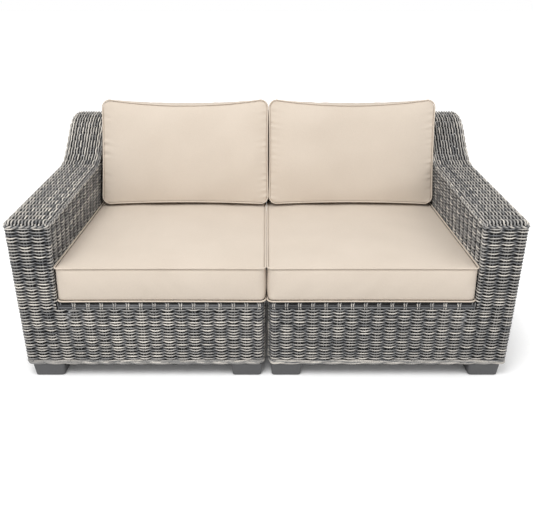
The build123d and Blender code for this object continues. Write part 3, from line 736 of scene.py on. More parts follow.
def braid(rng):
    """The bottom border, a flat plait of strands in three bundles of two.

    Bundle k is at the phase p = 2 pi (q + k / 3), at 5.0 mm sin p up and 1.8 mm sin 2p out. Its
    two strands lie 2.3 mm above and below that place.
    """
    wave = 0.20
    length = base_loop(skin_foot)[:, 4].sum()
    mid, outward = loop_stretch(base_loop, skin_foot, 0, length, 0.0066, 1100)
    mid[:, 2] = (braid_foot + skin_foot) / 2
    q = np.linspace(0, round(length / wave), len(mid))
    q = q + 0.10 * wander(rng, len(mid), length / wave)
    lines = []
    for k in range(6):
        p = 2 * np.pi * (q + (k % 3) / 3)
        out, up = 0.0018 * np.sin(2 * p), 0.0050 * np.sin(p) + 0.0023 * (1 if k < 3 else -1)
        tone = shades(rng, len(mid), length, rng.choice([0.48, 0.60, 0.76]))
        centres = mid + out[:, None] * outward + up[:, None] * (0, 0, 1)
        lines.append((centres, outward, strand, tone))
    return lines


def rod(rng):
    """The wrapped pair of rods on the front panel and along the inner side, with double wraps.

    A wrap is a circle of radius 5.2 mm, cut in two halves that stand as far apart as the rods. It
    slants: at the angle a it is 0.8 mm sin a further along the rods.
    """
    z = 0.2868                  # height between the two rods
    apart = 0.0078              # from the middle of one rod to the other
    depth_in, end_gap = 0.0076, 0.004
    ends = np.cumsum(base_loop(z)[:, 4])
    s0 = ends[3] + (x_arm + end_gap) - (x_outer + edge)
    s1 = ends[5] + back_y(z) - inner_bend - end_gap
    mid, outward = loop_stretch(base_loop, z, s0, s1, depth_in, 260)
    # painted shade: the upper rod, just under the cushion's edge, is darker than the lower one
    lines = [(mid + (0, 0, lift), outward, 0.0040, shades(rng, len(mid), s1 - s0, tone))
             for lift, tone in ((-apart / 2, 0.40), (apart / 2, 0.28))]
    s_at, q_at = beat(base_loop(deck_top))
    q = np.arange(math.ceil(np.interp(s0 + 2 * end_gap, s_at, q_at)), np.interp(s1, s_at, q_at))
    turn, up = np.linspace(0, 2 * np.pi, 13), np.array([0, 0, 1.0])
    for s in np.interp(q, q_at, s_at):
        centre, out = loop_stretch(base_loop, z, s - 0.0035, s + 0.0035, depth_in, 2)
        t = unit(centre[1] - centre[0])
        for k in range(2):
            radial = np.cos(turn)[:, None] * out[k] + np.sin(turn)[:, None] * up
            ring = (centre[k] + 0.0052 * radial + apart / 2 * np.sign(np.sin(turn))[:, None] * up
                    + 0.0008 * np.sin(turn)[:, None] * t)
            lines.append((ring, radial, stake, 0.60 + 0.3 * rng.random()))
    return lines


# %% [markdown]
# ## Both modules
#
# Each object below is one kind of row, stake or border of one module. They could be one mesh, but
# smaller ones stay light enough to export whole, and each can stand for the solid that it covers.
# All of them ride on the module's body, so they move with it when the modules are pulled apart.

# %% Build the weave of both modules
woven = []
for side in ("left", "right"):
    rng = np.random.default_rng(11 if side == "left" else 29)
    body = f"{side}_module"
    s = side + "_"
    made = [
        (bars("base_rows", side, base_strands(rng)),
         [s + "front_apron", s + "rear_apron", s + "outer_apron", s + "inner_apron"]),
        (bars("arm_rows_low", side, arm_strands(rng, 0, 13)), [s + "arm_weave"]),
        (bars("arm_rows_high", side, arm_strands(rng, 13, arm_rows)), []),
        (bars("back_rows", side, back_strands(rng)), [s + "back_weave"]),
        (bars("top_rows", side, top_strands(rng) + crest_strands(rng)), []),
        (bars("base_stakes", side, wall_stakes(rng, base_loop, braid_foot + 0.004, deck_top)), []),
        (bars("upper_stakes", side, wall_stakes(rng, upper_loop, deck_top - 0.002, stake_top)
              + top_stakes(rng)), []),
        (bars("borders", side, borders(rng)), []),
        (bars("braid", side, braid(rng), 6), [s + "bottom_braid"]),
        (bars("rod", side, rod(rng), 8), []),
    ]
    for obj, nodes in made:
        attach(obj, body)
        if nodes:
            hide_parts(*nodes)
        woven.append(obj)
        print(obj.name, len(obj.data.polygons))

# %% [markdown]
# ## Cushions
#
# A boxed cushion is two panels and a band, sewn together with piping in both seams. It could be
# a rounded box that is pulled about until it looks soft. Here each panel starts as it is cut from
# the cloth, with rounded corners and slightly hollow sides, and is filled with a grid of quads.
# The band is a strip between the two rims. Panels and band have cloth coordinates in metres.


# %% Outlines and panels
def outline(box, corner, draws):
    """A rounded outline whose sides pull in, as distances, points, corners and total length.

    At the share u of a side the pull is 4u(1 - u) times that side's draw. The draws are those of
    left, right, bottom and top, and the line starts in the middle of the right side.
    """
    left, right, bottom, top = box
    rows = cornered([(right, (bottom + top) / 2), (right, top), (left, top), (left, bottom),
                     (right, bottom), (right, (bottom + top) / 2 - 1e-4)], [corner] * 4)
    total = rows[:, 4].sum()
    s = np.linspace(0, total, 1601)
    step, share = places(rows, s)
    points, heading = walk(rows, step, share)
    hollow_left, hollow_right, hollow_bottom, hollow_top = draws
    pulls = np.array([hollow_right, 0, hollow_top, 0, hollow_left, 0, hollow_bottom, 0,
                      hollow_right])[step]
    u = np.where(step == 0, 0.5 + share / 2, np.where(step == 8, share / 2, share))
    inward = np.stack([-np.sin(heading), np.cos(heading)], -1)
    points = points + (pulls * 4 * u * (1 - u))[:, None] * inward
    corners = [np.cumsum(rows[:, 4])[i] - rows[i, 4] / 2 for i in (1, 3, 5, 7)]
    return s, points, corners, total


def stretch(curve, s0, s1, count):
    """Evenly spaced points of an outline from s0 to s1, also past its closing point."""
    s, points, _, total = curve
    at = np.mod(np.linspace(s0, s1, count + 1), total)
    return np.column_stack([np.interp(at, s, points[:, i]) for i in range(2)])


def panel(curve, columns, rows):
    """A grid inside an outline, as a Coons patch: the two blends between opposite sides, less
    the blend between the four corners."""
    _, _, c, total = curve
    top = stretch(curve, c[1], c[0], columns)
    left = stretch(curve, c[2], c[1], rows)
    bottom = stretch(curve, c[2], c[3], columns)
    right = stretch(curve, c[0] + total, c[3], rows)[::-1]
    u = np.linspace(0, 1, columns + 1)[:, None, None]
    v = np.linspace(0, 1, rows + 1)[None, :, None]
    sides = ((1 - v) * bottom[:, None] + v * top[:, None] + (1 - u) * left[None] + u * right[None])
    ends = ((1 - u) * (1 - v) * bottom[0] + u * (1 - v) * bottom[-1]
            + (1 - u) * v * top[0] + u * v * top[-1])
    return sides - ends


def rim_index(columns, rows):
    """Grid numbers of a panel's edge, counterclockwise from its first corner."""
    grid = np.arange((columns + 1) * (rows + 1)).reshape(columns + 1, rows + 1)
    return np.concatenate([grid[:-1, 0], grid[-1, :-1], grid[:0:-1, -1], grid[0, :0:-1]])


def boxed(low, high, flats, bands):
    """Points, faces, cloth coordinates and seam rings of a boxed cushion.

    low and high are grids of 3-D points and flats are the same grids in the plane of the panel.
    Rows of the band lie at even shares between the rims. On the band the cloth coordinates are
    the distance round the rim and the height above it.
    """
    columns, rows = low.shape[0] - 1, low.shape[1] - 1
    size = (columns + 1) * (rows + 1)
    rim = rim_index(columns, rows)
    low_flat, high_flat = low.reshape(-1, 3), high.reshape(-1, 3)
    shares = np.arange(1, bands) / bands
    middle = (low_flat[rim] * (1 - shares[:, None, None]) + high_flat[rim] * shares[:, None, None])
    points = np.concatenate([low_flat, high_flat, middle.reshape(-1, 3)])
    grid = np.arange(size).reshape(columns + 1, rows + 1)
    quads = np.stack([grid[:-1, :-1], grid[1:, :-1], grid[1:, 1:], grid[:-1, 1:]], -1)
    quads = quads.reshape(-1, 4)
    inner_rings = np.arange((bands - 1) * len(rim)).reshape(-1, len(rim))
    rings = np.concatenate([[rim], 2 * size + inner_rings, [rim + size]])
    nxt = np.roll(rings, -1, axis=1)
    band = np.stack([rings[:-1], nxt[:-1], nxt[1:], rings[1:]], -1).reshape(-1, 4)
    around = np.concatenate([[0], np.cumsum(np.linalg.norm(
        np.diff(low_flat[rim], axis=0, append=low_flat[rim][:1]), axis=1))])
    height = np.linalg.norm(high_flat[rim[0]] - low_flat[rim[0]])
    a0, a1 = around[:-1], around[1:]
    v = np.arange(bands + 1) / bands * height
    sides = ((a0, v[:-1]), (a1, v[:-1]), (a1, v[1:]), (a0, v[1:]))
    band_uv = np.stack([np.stack(np.broadcast_arrays(x, y[:, None]), -1) for x, y in sides], 2)
    band_uv = band_uv.reshape(-1, 4, 2)
    flat_uv = [flat.reshape(-1, 2) for flat in flats]
    faces = [quads[:, ::-1], quads + size, band]
    uvs = [flat_uv[0][quads[:, ::-1]], flat_uv[1][quads], band_uv]
    return points, faces, uvs, (rings[0], rings[-1])


# %% [markdown]
# ## Filling the covers
#
# A filled cover bulges between its seams. Sculpting could give that, but a cloth simulation with
# inner pressure finds the form by itself: the seams are pinned, as the piping holds them, and the
# panels swell. The simulated swelling is then scaled to the height that the real cushion has, so
# that the cushion keeps its place.

# %% Blow up a cover with pinned seams
last_frame = 16


def swell(obj, pinned, pressure=4.0):
    """Cloth simulation with inner pressure and no gravity. Returns how far each point moved."""
    count = len(obj.data.vertices)
    rest = np.empty(count * 3, np.float32)
    obj.data.vertices.foreach_get("co", rest)
    group = obj.vertex_groups.new(name="seams")
    group.add([int(i) for i in pinned], 1.0, "REPLACE")
    cloth = obj.modifiers.new("cloth", "CLOTH")
    settings = cloth.settings
    settings.quality = 4
    settings.mass = 0.3
    settings.tension_stiffness = settings.compression_stiffness = 18
    settings.shear_stiffness = 6
    settings.bending_stiffness = 0.6
    settings.use_pressure = True
    settings.uniform_pressure_force = pressure
    settings.vertex_group_mass = "seams"
    settings.effector_weights.gravity = 0
    cloth.point_cache.frame_start, cloth.point_cache.frame_end = 1, last_frame
    scene = bpy.context.scene
    for number in range(1, last_frame + 1):
        scene.frame_set(number)
    moved = np.empty(count * 3, np.float32)
    shaped = obj.evaluated_get(bpy.context.evaluated_depsgraph_get())
    shaped.data.vertices.foreach_get("co", moved)
    obj.modifiers.remove(cloth)
    obj.vertex_groups.remove(group)
    scene.frame_set(1)
    return (moved - rest).reshape(-1, 3)


# %% Where the two kinds of cushion lie
piping_radius = 0.003
piped = (piping_radius + clearance) * math.sqrt(0.5) + piping_radius  # seam to outside of piping
cord_out = 0.0016               # middle of the piping, out from its seam
front_gap = 0.004               # seat cushion's piping to the front plane
rear_gap = 0.001                # seat cushion's piping to the woven back
back_gap = 0.011                # back cushion's piping to the arm
right_edge = -0.0048            # seams beside the middle of the loveseat
seat_left = x_arm - 0.0035      # the seat cushion is squeezed a little against the arm
back_left = x_arm + back_gap + piped
seat_z = 0.3078                 # lower seam of the seat cushion
seat_boxing = 0.122             # between its two seams
back_boxing = 0.140
back_front = 0.437              # height of the back cushion's front panel
seat_box = (seat_left, right_edge, front_gap + piped, back_y(seat_z) - rear_gap - piped)
seat_swell = 0.014 * 0.93       # of the seat's top, where the back cushion stands on it
rest_z = seat_z + seat_boxing + seat_swell + piped + clearance
back_origin = np.array([0, back_y(rest_z) - (piped + clearance) / math.cos(lean), rest_z])
back_rise = back_front - back_boxing * math.tan(lean)
print("seat cushion", [round(float(v), 3) for v in seat_box], "back cushion stands at",
      round(float(rest_z), 3))

# %% From the drawing planes to the room, and the outlines of the panels
up_lean = np.array([0, math.sin(lean), math.cos(lean)])
out_lean = np.array([0, -math.cos(lean), math.sin(lean)])


def on_seat(flat, height):
    """Seat cushion's drawing plane to the room: x, y and the height above its lower seam."""
    return np.concatenate([flat, np.full(flat.shape[:-1] + (1,), seat_z + height)], -1)


def on_back(flat, height):
    """Back cushion's leaning plane to the room."""
    return (back_origin + flat[..., :1] * (1.0, 0, 0) + flat[..., 1:] * up_lean
            + height * out_lean)


def edge_line(to_room, curve, height, outward, count=420):
    """Line of the piping beside a seam: out from the outline and away from the boxing."""
    flat = stretch(curve, 0, curve[3], count)[:-1]
    ahead, behind = np.roll(flat, -1, axis=0), np.roll(flat, 1, axis=0)
    t = unit(ahead - behind)
    flat = flat + cord_out * np.stack([t[:, 1], -t[:, 0]], -1)
    return to_room(flat, height + outward * cord_out)


def seat_curve(spread):
    """Outline of a seat panel; spread widens it towards the arm."""
    left, right, front, rear = seat_box
    draws = (0.0005, 0.0001, 0.002, 0.003)
    return outline((left - spread, right, front, rear), 0.014 + spread, draws)


def back_curve(height):
    """Outline of a back cushion at a height over its rear panel. The underside is level, so the
    panel reaches lower the farther it is from the leaning back, and its top dips more."""
    box = (back_left, right_edge, -math.tan(lean) * height, back_rise)
    draw_top = 0.006 + 0.017 * height / back_boxing
    draw_bottom = 0.0006 + 0.0070 * height / back_boxing
    return outline(box, 0.030, (0.003, 0.003, draw_bottom, draw_top))


def cord_ring(line):
    """Points and quads of the piping: a closed bar of eight sides round a seam.

    The ring at each point is the one of bar(), with its outward side away from the seam's middle.
    """
    t = unit(np.roll(line, -1, axis=0) - np.roll(line, 1, axis=0))
    outward = unit(line - line.mean(axis=0))
    b = unit(np.cross(t, outward))
    n = np.cross(b, t)
    sides = 8
    a = 2 * np.pi * np.arange(sides) / sides
    rings = line[:, None] + piping_radius * (np.cos(a)[:, None] * n[:, None]
                                             + np.sin(a)[:, None] * b[:, None])
    index = np.arange(len(line) * sides).reshape(len(line), sides)
    after, beside = np.roll(index, -1, axis=0), np.roll(index, -1, axis=1)
    quads = np.stack([index, beside, np.roll(beside, -1, axis=0), after], -1).reshape(-1, 4)
    return rings.reshape(-1, 3), quads


# %% [markdown]
# ## Folds and dents
#
# Sewn cloth is never even. Short ridges run in from the seams where the thread gathers the cloth,
# and the filling leaves soft hollows. A noise displacement would spread the same bumps
# everywhere. Here sums of sines with random lengths are kept to the place where each fold belongs.

# %% Waves, ridges and hollows
nearly_round = 6.28             # range of a random phase


def window(x, half, soft):
    """One where x is inside a half width, falling smoothly to zero over a soft distance."""
    d = np.clip((half + soft - abs(x)) / soft, 0, 1)
    return d * d * (3 - 2 * d)


def ridges(rng, u, finest, widest, waves=8):
    """A random wavy line: sines of random length between finest and widest, added up."""
    lengths = np.exp(rng.uniform(math.log(finest), math.log(widest), waves))
    total = sum(math.sqrt(length / widest)
                * np.sin(2 * np.pi * u / length + rng.uniform(0, nearly_round))
                for length in lengths)
    return total / math.sqrt(waves)


def dents(rng, flat, finest, widest, waves=10):
    """Soft hollows: sines of random length and direction, added up."""
    angles = rng.uniform(0, np.pi, waves)
    lengths = np.exp(rng.uniform(math.log(finest), math.log(widest), waves))
    total = sum(np.sin(2 * np.pi * (flat @ (math.cos(a), math.sin(a))) / length
                       + rng.uniform(0, nearly_round)) for a, length in zip(angles, lengths))
    return total / math.sqrt(waves)


def puckers(rng, flat, box, side_depth, end_depth):
    """Ridges that run in from the seams and die out within a few centimetres.

    Beside an edge at distance d the height is depth (1 - exp(-d / 0.006)) exp(-d / spread) times
    a wavy line along it.
    """
    left, right, bottom, top = box
    x, y = flat[..., 0], flat[..., 1]
    height = 0
    for d, along, depth_here, spread in (
            (x - left, y, side_depth, 0.017), (right - x, y, side_depth, 0.017),
            (y - bottom, x, end_depth, 0.020), (top - y, x, end_depth, 0.020)):
        d = np.maximum(d, 0)
        height = height + depth_here * np.exp(-d / spread) * (1 - np.exp(-d / 0.006)) * ridges(
            rng, along + 0.2 * d, 0.014, 0.045)
    return height


def hollows(rng, flat, kind):
    """Heights of the seen panel's soft hollows and of the puckers beside its seams.

    At the distance d from the nearest seam the hollows have grown to 1 - exp(-d / 0.05).
    """
    left, right, bottom, top = kind["box"]
    d = np.minimum.reduce([flat[:, 0] - left, right - flat[:, 0], flat[:, 1] - bottom,
                           top - flat[:, 1]]).clip(0)
    soft = kind["dent"] * (1 - np.exp(-d / 0.05)) * dents(rng, flat, 0.16, 0.5)
    return soft + puckers(rng, flat, kind["box"], *kind["pucker"])


def band_folds(rng, band, level, round_count, kind):
    """The band's points with soft folds from seam to seam.

    At the share u between the seams the fold is sin(pi u) of its depth times a wavy line along
    the band, out from the middle of the cushion.
    """
    out = np.array(kind["out"])
    around = np.arange(len(band)) % round_count * 0.012
    from_middle = band - band.mean(axis=0)
    sideways = unit(from_middle - (from_middle @ out)[:, None] * out)
    waves = ridges(rng, around + 0.1 * level, 0.04, 0.16)
    return band + (kind["band_fold"] * np.sin(np.pi * level) * waves)[:, None] * sideways


# %% [markdown]
# ## One cushion
#
# The steps come together here: panels and band, filling, folds, and then the cushion is put
# down. Where it lies on the webbing or leans on the woven back it is flat, and its band or rear
# panel is hollow where the zip of the solid model sits. Clipping the points by formula does that
# more surely than a collision in the simulation. One level of subdivision smooths the result.


# %% A cover and its piping
def settle(points, side, kind):
    """How a cushion lies: a little to the right, and wider towards its arm.

    lie moves both cushions of a kind to the right. The side at the arm moves out by the side's
    own amounts, from its lower to its upper edge, and the side at the middle stays.
    """
    left, right, bottom, top = kind["box"]
    low, high = kind["wider"][side]
    up = np.clip((points - kind["origin"]) @ up_lean / (top - bottom), 0, 1)
    share = np.clip((right - points[:, 0]) / (right - left), 0, 1)
    shift = (1 if side == "left" else -1) * kind["lie"] - share * (low + (high - low) * up)
    return points + shift[:, None] * (1.0, 0, 0)


def cushion(name, side, rng, kind):
    """A cover: flat panels, blown up, scaled to its crowns, folded, and pressed where it rests.

    Each point moves by the simulated distance times one factor for its panel, so that nearly all
    of a panel stays within its crown.
    """
    columns, rows, bands = kind["cells"]
    flats = [panel(curve, columns, rows) for curve in kind["curves"]]
    place, boxing, out = kind["place"], kind["boxing"], np.array(kind["out"])
    low, high = place(flats[0], 0.0), place(flats[1], boxing)
    points, faces, uvs, seams = boxed(low, high, flats, bands)
    obj = new_mesh(name, side, points, faces, uvs=uvs)
    shift = swell(obj, np.concatenate(seams))
    sign = 1 if side == "left" else -1
    shift[:, 0] *= sign
    size = (columns + 1) * (rows + 1)
    lower, upper, band = slice(0, size), slice(size, 2 * size), slice(2 * size, None)
    moved = points.copy()
    for ids, crown in zip((lower, upper, band), kind["crowns"]):
        farthest = np.percentile(np.linalg.norm(shift[ids], axis=1), 99)
        moved[ids] += shift[ids] * crown / max(farthest, 1e-6)
        print(f"{side} {name}: simulated {farthest * 1000:.1f} mm, scaled to {crown * 1000:.1f}")
    moved[upper] += hollows(rng, flats[1].reshape(-1, 2), kind)[:, None] * out
    level = (points[band] - kind["origin"]) @ out / boxing
    moved[band] = band_folds(rng, moved[band], level, 2 * (columns + rows), kind)
    moved = settle(kind["press"](moved), side, kind)
    final = moved * (sign, 1, 1) - (0, depth / 2, 0)
    obj.data.vertices.foreach_set("co", final.astype(np.float32).ravel())
    obj.data.update()
    smooth = obj.modifiers.new("round", "SUBSURF")
    smooth.levels = smooth.render_levels = 1
    return obj


def cord_object(name, side, kind):
    """The piping of both seams of a cushion, as one object."""
    points, quads, count = [], [], 0
    for curve, height, outward in zip(kind["curves"], (0.0, kind["boxing"]), (-1, 1)):
        ring, faces = cord_ring(edge_line(kind["place"], curve, height, outward))
        points.append(ring)
        quads.append(faces + count)
        count += len(ring)
    total = settle(np.concatenate(points), side, kind)
    return new_mesh(name, side, total, [np.concatenate(quads)])


# %% Where the cushions rest
middle_gap = 0.0001             # each cushion stays on its own side of the loveseat's middle


def press_seat(points):
    """The underside lies flat on the webbing, and the band dips to the zip at the rear.

    The dip is 568 mm long and 28 mm high with soft edges, and ends 6.4 mm inside the seams.
    """
    left, right, _, rear = seat_box
    x, y, z = points.T
    x = np.minimum(x, -middle_gap)
    z = np.maximum(z, deck_top + 0.0007)
    dip = window(x - (left + right) / 2, 0.284, 0.010) * window(
        z - seat_z - seat_boxing / 2, 0.0140, 0.009) * (y > rear - 0.03)
    y = y + dip * np.minimum(rear - 0.0064 - y, 0)
    return np.column_stack([x, y, z])


def press_back(points):
    """The rear panel lies flat on the woven back, and dips to the zip near its lower edge.

    The dip is 592 mm long and 37 mm high, 60 mm above the edge, and 3.4 mm inside the seams. The
    panel bulges 5 mm past them at most, and the level underside by 4.5 mm.
    """
    flat = points - back_origin
    x, up, out = np.minimum(flat[:, 0], -middle_gap), flat @ up_lean, flat @ out_lean
    out = np.maximum(out, -0.005)
    up = np.maximum(up, -math.tan(lean) * np.clip(out, 0, back_boxing) - 0.0045)
    dip = window(x - (back_left + right_edge) / 2, 0.296, 0.010) * window(
        up - 0.060, 0.0185, 0.006) * (out < 0.02)
    out = out + dip * np.maximum(0.0034 - out, 0)
    return back_origin + np.outer(x, (1.0, 0, 0)) + np.outer(up, up_lean) + np.outer(out, out_lean)


# %% The two kinds of cushion
seat_kind = dict(
    curves=(seat_curve(0.004), seat_curve(0.0)), place=on_seat, boxing=seat_boxing, box=seat_box,
    origin=np.array([0, 0, seat_z]), out=(0, 0, 1.0), crowns=(0.012, 0.014, 0.0075),
    cells=(56, 58, 8), pucker=(0.0011, 0.0012), dent=0.0014, band_fold=0.0012, press=press_seat,
    lie=0.0, wider={"left": (0.0, 0.0), "right": (0.0, 0.0)})
back_box = (back_left, right_edge, -math.tan(lean) * back_boxing, back_rise)
back_kind = dict(
    curves=(back_curve(0.0), back_curve(back_boxing)), place=on_back, boxing=back_boxing,
    box=back_box, origin=back_origin, out=tuple(out_lean), crowns=(0.010, 0.023, 0.0115),
    cells=(84, 60, 10), pucker=(0.0062, 0.0022), dent=0.0022, band_fold=0.0012, press=press_back,
    lie=0.009, wider={"left": (0.013, 0.001), "right": (0.003, 0.003)})

# %% Make the cushions
cushions = []
for side in ("left", "right"):
    rng = np.random.default_rng(5 if side == "left" else 17)
    for part, kind, insides in (("seat", seat_kind, "foam"), ("back", back_kind, "fill")):
        cover = cushion(f"{part}_cover_cloth", side, rng, kind)
        edging = cord_object(f"{part}_piping_cord", side, kind)
        for obj in (cover, edging):
            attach(obj, f"{side}_{part}_cushion")
        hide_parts(f"{side}_{part}_cover", f"{side}_{part}_{insides}")
        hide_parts(f"{side}_{part}_piping")
        cushions += [cover, edging]
        print(cover.name, len(cover.data.polygons))

# %% [markdown]
# ## Finishes
#
# Each finish is a small set of nodes over the Principled shader: a colour ramp read by a pattern,
# and the same pattern as a fine bump. An image texture would show more detail from one side, but
# it has to be unwrapped, and it repeats. The patterns here lie in object or cloth coordinates.
# Two of them serve several finishes, so each is a node group, built once and placed with its own
# values: fine specks, and crossed waves, which are threads on the cloth and ribs on the straps.


# %% Material helpers
def finish(name, **values):
    """A material whose Principled shader is set by keyword: material, nodes, links, shader."""
    mat = bpy.data.materials.new(name)
    mat.use_nodes = True
    nodes, links = mat.node_tree.nodes, mat.node_tree.links
    shader = nodes["Principled BSDF"]
    for key, value in values.items():
        shader.inputs[key.replace("_", " ")].default_value = value
    return mat, nodes, links, shader


def linear(red, green, blue):
    """A colour written as 0 to 255 on a screen, as the linear light that it stands for."""
    return tuple((c / 255 / 12.92 if c / 255 <= 0.04045 else ((c / 255 + 0.055) / 1.055) ** 2.4)
                 for c in (red, green, blue)) + (1.0,)


def noise(nodes, links, coords, scale, detail=3.0, rough=0.55):
    """A noise texture on the given coordinates."""
    node = nodes.new("ShaderNodeTexNoise")
    node.inputs["Scale"].default_value = scale
    node.inputs["Detail"].default_value = detail
    node.inputs["Roughness"].default_value = rough
    links.new(coords, node.inputs["Vector"])
    return node.outputs["Fac"]


def ramp(nodes, links, value, stops):
    """A colour ramp with (place, colour) stops."""
    node = nodes.new("ShaderNodeValToRGB")
    bands = node.color_ramp.elements
    while len(bands) < len(stops):
        bands.new(0.5)
    for band, (place, colour) in zip(bands, stops):
        band.position, band.color = place, colour
    links.new(value, node.inputs["Fac"])
    return node.outputs["Color"]


def bump(nodes, links, height, shader, strength, distance):
    """Bump from a height, into the shader's normal."""
    node = nodes.new("ShaderNodeBump")
    node.inputs["Strength"].default_value = strength
    node.inputs["Distance"].default_value = distance
    links.new(height, node.inputs["Height"])
    links.new(node.outputs["Normal"], shader.inputs["Normal"])


def math_node(nodes, links, operation, first, second):
    """One arithmetic step between two values or sockets."""
    node = nodes.new("ShaderNodeMath")
    node.operation = operation
    for socket, value in zip(node.inputs, (first, second)):
        if isinstance(value, (int, float)):
            socket.default_value = value
        else:
            links.new(value, socket)
    return node.outputs[0]


def plus(nodes, links, base, extra, share):
    """base + share times extra."""
    return math_node(nodes, links, "ADD", base,
                     math_node(nodes, links, "MULTIPLY", extra, share))


def around_zero(nodes, links, value):
    """A noise value, which lies about one half, less that half."""
    return math_node(nodes, links, "SUBTRACT", value, 0.5)


def object_coords(nodes):
    """The place in the piece's own coordinates, which are those of the room at rest."""
    return nodes.new("ShaderNodeTexCoord").outputs["Object"]


def new_group(name, values, outputs):
    """A node group with a Vector, number inputs and number outputs: the group and its two ends."""
    group = bpy.data.node_groups.new(name, "ShaderNodeTree")
    group.interface.new_socket("Vector", in_out="INPUT", socket_type="NodeSocketVector")
    for direction, keys in (("INPUT", values), ("OUTPUT", outputs)):
        for key in keys:
            group.interface.new_socket(key, in_out=direction, socket_type="NodeSocketFloat")
    start, end = group.nodes.new("NodeGroupInput"), group.nodes.new("NodeGroupOutput")
    return group, start.outputs, end.inputs


def placed(nodes, links, group, coords, **values):
    """A node group in a material, with its coordinates and its own values: the outputs."""
    node = nodes.new("ShaderNodeGroup")
    node.node_tree = group
    links.new(coords, node.inputs["Vector"])
    for key, value in values.items():
        node.inputs[key].default_value = value
    return node.outputs


# %% Fine specks as a node group
specks, given, result = new_group("fine specks", ["Scale"], ["Specks"])
speck = noise(specks.nodes, specks.links, given["Vector"], 1.0, 4)
specks.links.new(given["Scale"], speck.node.inputs["Scale"])
specks.links.new(speck, result["Specks"])
print(specks.name, "takes", [socket.name for socket in given if socket.name])

# %% Two sets of parallel waves, one across X and one across Y, as a node group
crossed, given, result = new_group("crossed waves", ["Scale", "Distortion", "Detail"],
                                   ["Across", "Along"])
for direction, output in (("X", "Across"), ("Y", "Along")):
    wave = crossed.nodes.new("ShaderNodeTexWave")
    wave.bands_direction = direction
    for key in ("Vector", "Scale", "Distortion", "Detail"):
        crossed.links.new(given[key], wave.inputs[key])
    crossed.links.new(wave.outputs["Fac"], result[output])
print(crossed.name, "takes", [socket.name for socket in given if socket.name])

# %% [markdown]
# ## The strands' finish
#
# Such strands are extruded plastic, streaked in grey with a little brown and blue. The ramp goes
# from the dark of the gaps to the palest strand, and the tone stored on each strand picks its
# place on it. Two noises shift that place: a fine one for the streaks, and a broad one that
# changes every hand's width. A colour for each object would leave every strand alike.

# %% Wicker strands
wicker, nodes, links, shader = finish("woven strand", Roughness=0.52, IOR=1.45)
coords = object_coords(nodes)
tone = nodes.new("ShaderNodeAttribute")
tone.attribute_name = "tone"
fine = noise(nodes, links, coords, 260, 4)
patch = noise(nodes, links, coords, 7, 2)
mixed = plus(nodes, links, tone.outputs["Fac"], around_zero(nodes, links, fine), 0.30)
mixed = plus(nodes, links, mixed, around_zero(nodes, links, patch), 0.16)
colour = ramp(nodes, links, mixed, [
    (0.0, linear(10, 10, 11)), (0.22, linear(44, 45, 47)), (0.42, linear(98, 99, 101)),
    (0.62, linear(147, 145, 142)), (0.82, linear(189, 184, 177)), (1.0, linear(224, 218, 208))])
links.new(colour, shader.inputs["Base Color"])
bump(nodes, links, noise(nodes, links, coords, 900, 3), shader, 0.25, 0.0004)
for obj in woven:
    obj.data.materials.append(wicker)
print(wicker.name, "on", len(woven), "pieces")

# %% [markdown]
# ## The cushions' cloth
#
# Outdoor cushion cloth is a plain weave with slightly uneven threads. Object coordinates would
# run straight through the folds. The pattern follows the cloth, so it lies in the coordinates
# that the panels were cut in. The crossed waves, multiplied, are high only where two threads
# cross, and a fine noise makes the threads uneven. A little sheen lights the edges.

# %% Cushion cloth
fabric, nodes, links, shader = finish("cushion cloth", Roughness=0.86, IOR=1.4)
shader.inputs["Sheen Weight"].default_value = 0.12
shader.inputs["Sheen Roughness"].default_value = 0.5
coords = object_coords(nodes)
uv = nodes.new("ShaderNodeUVMap")
uv.uv_map = "cloth"
waves = placed(nodes, links, crossed, uv.outputs["UV"], Scale=260.0, Distortion=0.6, Detail=1.0)
threads = math_node(nodes, links, "MULTIPLY", waves["Across"], waves["Along"])
slub = noise(nodes, links, coords, 420, 3)
cloudy = noise(nodes, links, coords, 5, 3)
mixed = plus(nodes, links, math_node(nodes, links, "MULTIPLY", slub, 0.45), cloudy, 0.30)
mixed = plus(nodes, links, mixed, threads, 0.25)
colour = ramp(nodes, links, mixed, [(0.25, linear(198, 185, 170)), (0.75, linear(215, 203, 189))])
links.new(colour, shader.inputs["Base Color"])
height = plus(nodes, links, threads, slub, 0.8)
bump(nodes, links, height, shader, 0.35, 0.0006)
for obj in cushions:
    obj.data.materials.append(fabric)
print(fabric.name, "on", len(cushions), "pieces")

# %% [markdown]
# ## Finishes of the solid model's own pieces
#
# Frame, feet, glides, bolts, zips and straps keep the shapes of the solid model and only get a
# finish. Powder coat, moulded plastic, zinc and zip tape differ in colour, gloss and the size of
# their specks, so one function makes them all. The elastic straps have ribs, made of the same
# crossed waves as the cloth's threads, but coarser, added up, and in object coordinates.


# %% Plain finishes of the carried-over pieces
def grained(name, dark, light, scale, depth_of_bump, **values):
    """A mottled, slightly rough finish between two colours, by object coordinates."""
    mat, nodes, links, shader = finish(name, **values)
    speck = placed(nodes, links, specks, object_coords(nodes), Scale=scale)["Specks"]
    links.new(ramp(nodes, links, speck, [(0.3, dark), (0.7, light)]), shader.inputs["Base Color"])
    bump(nodes, links, speck, shader, 0.3, depth_of_bump)
    return mat


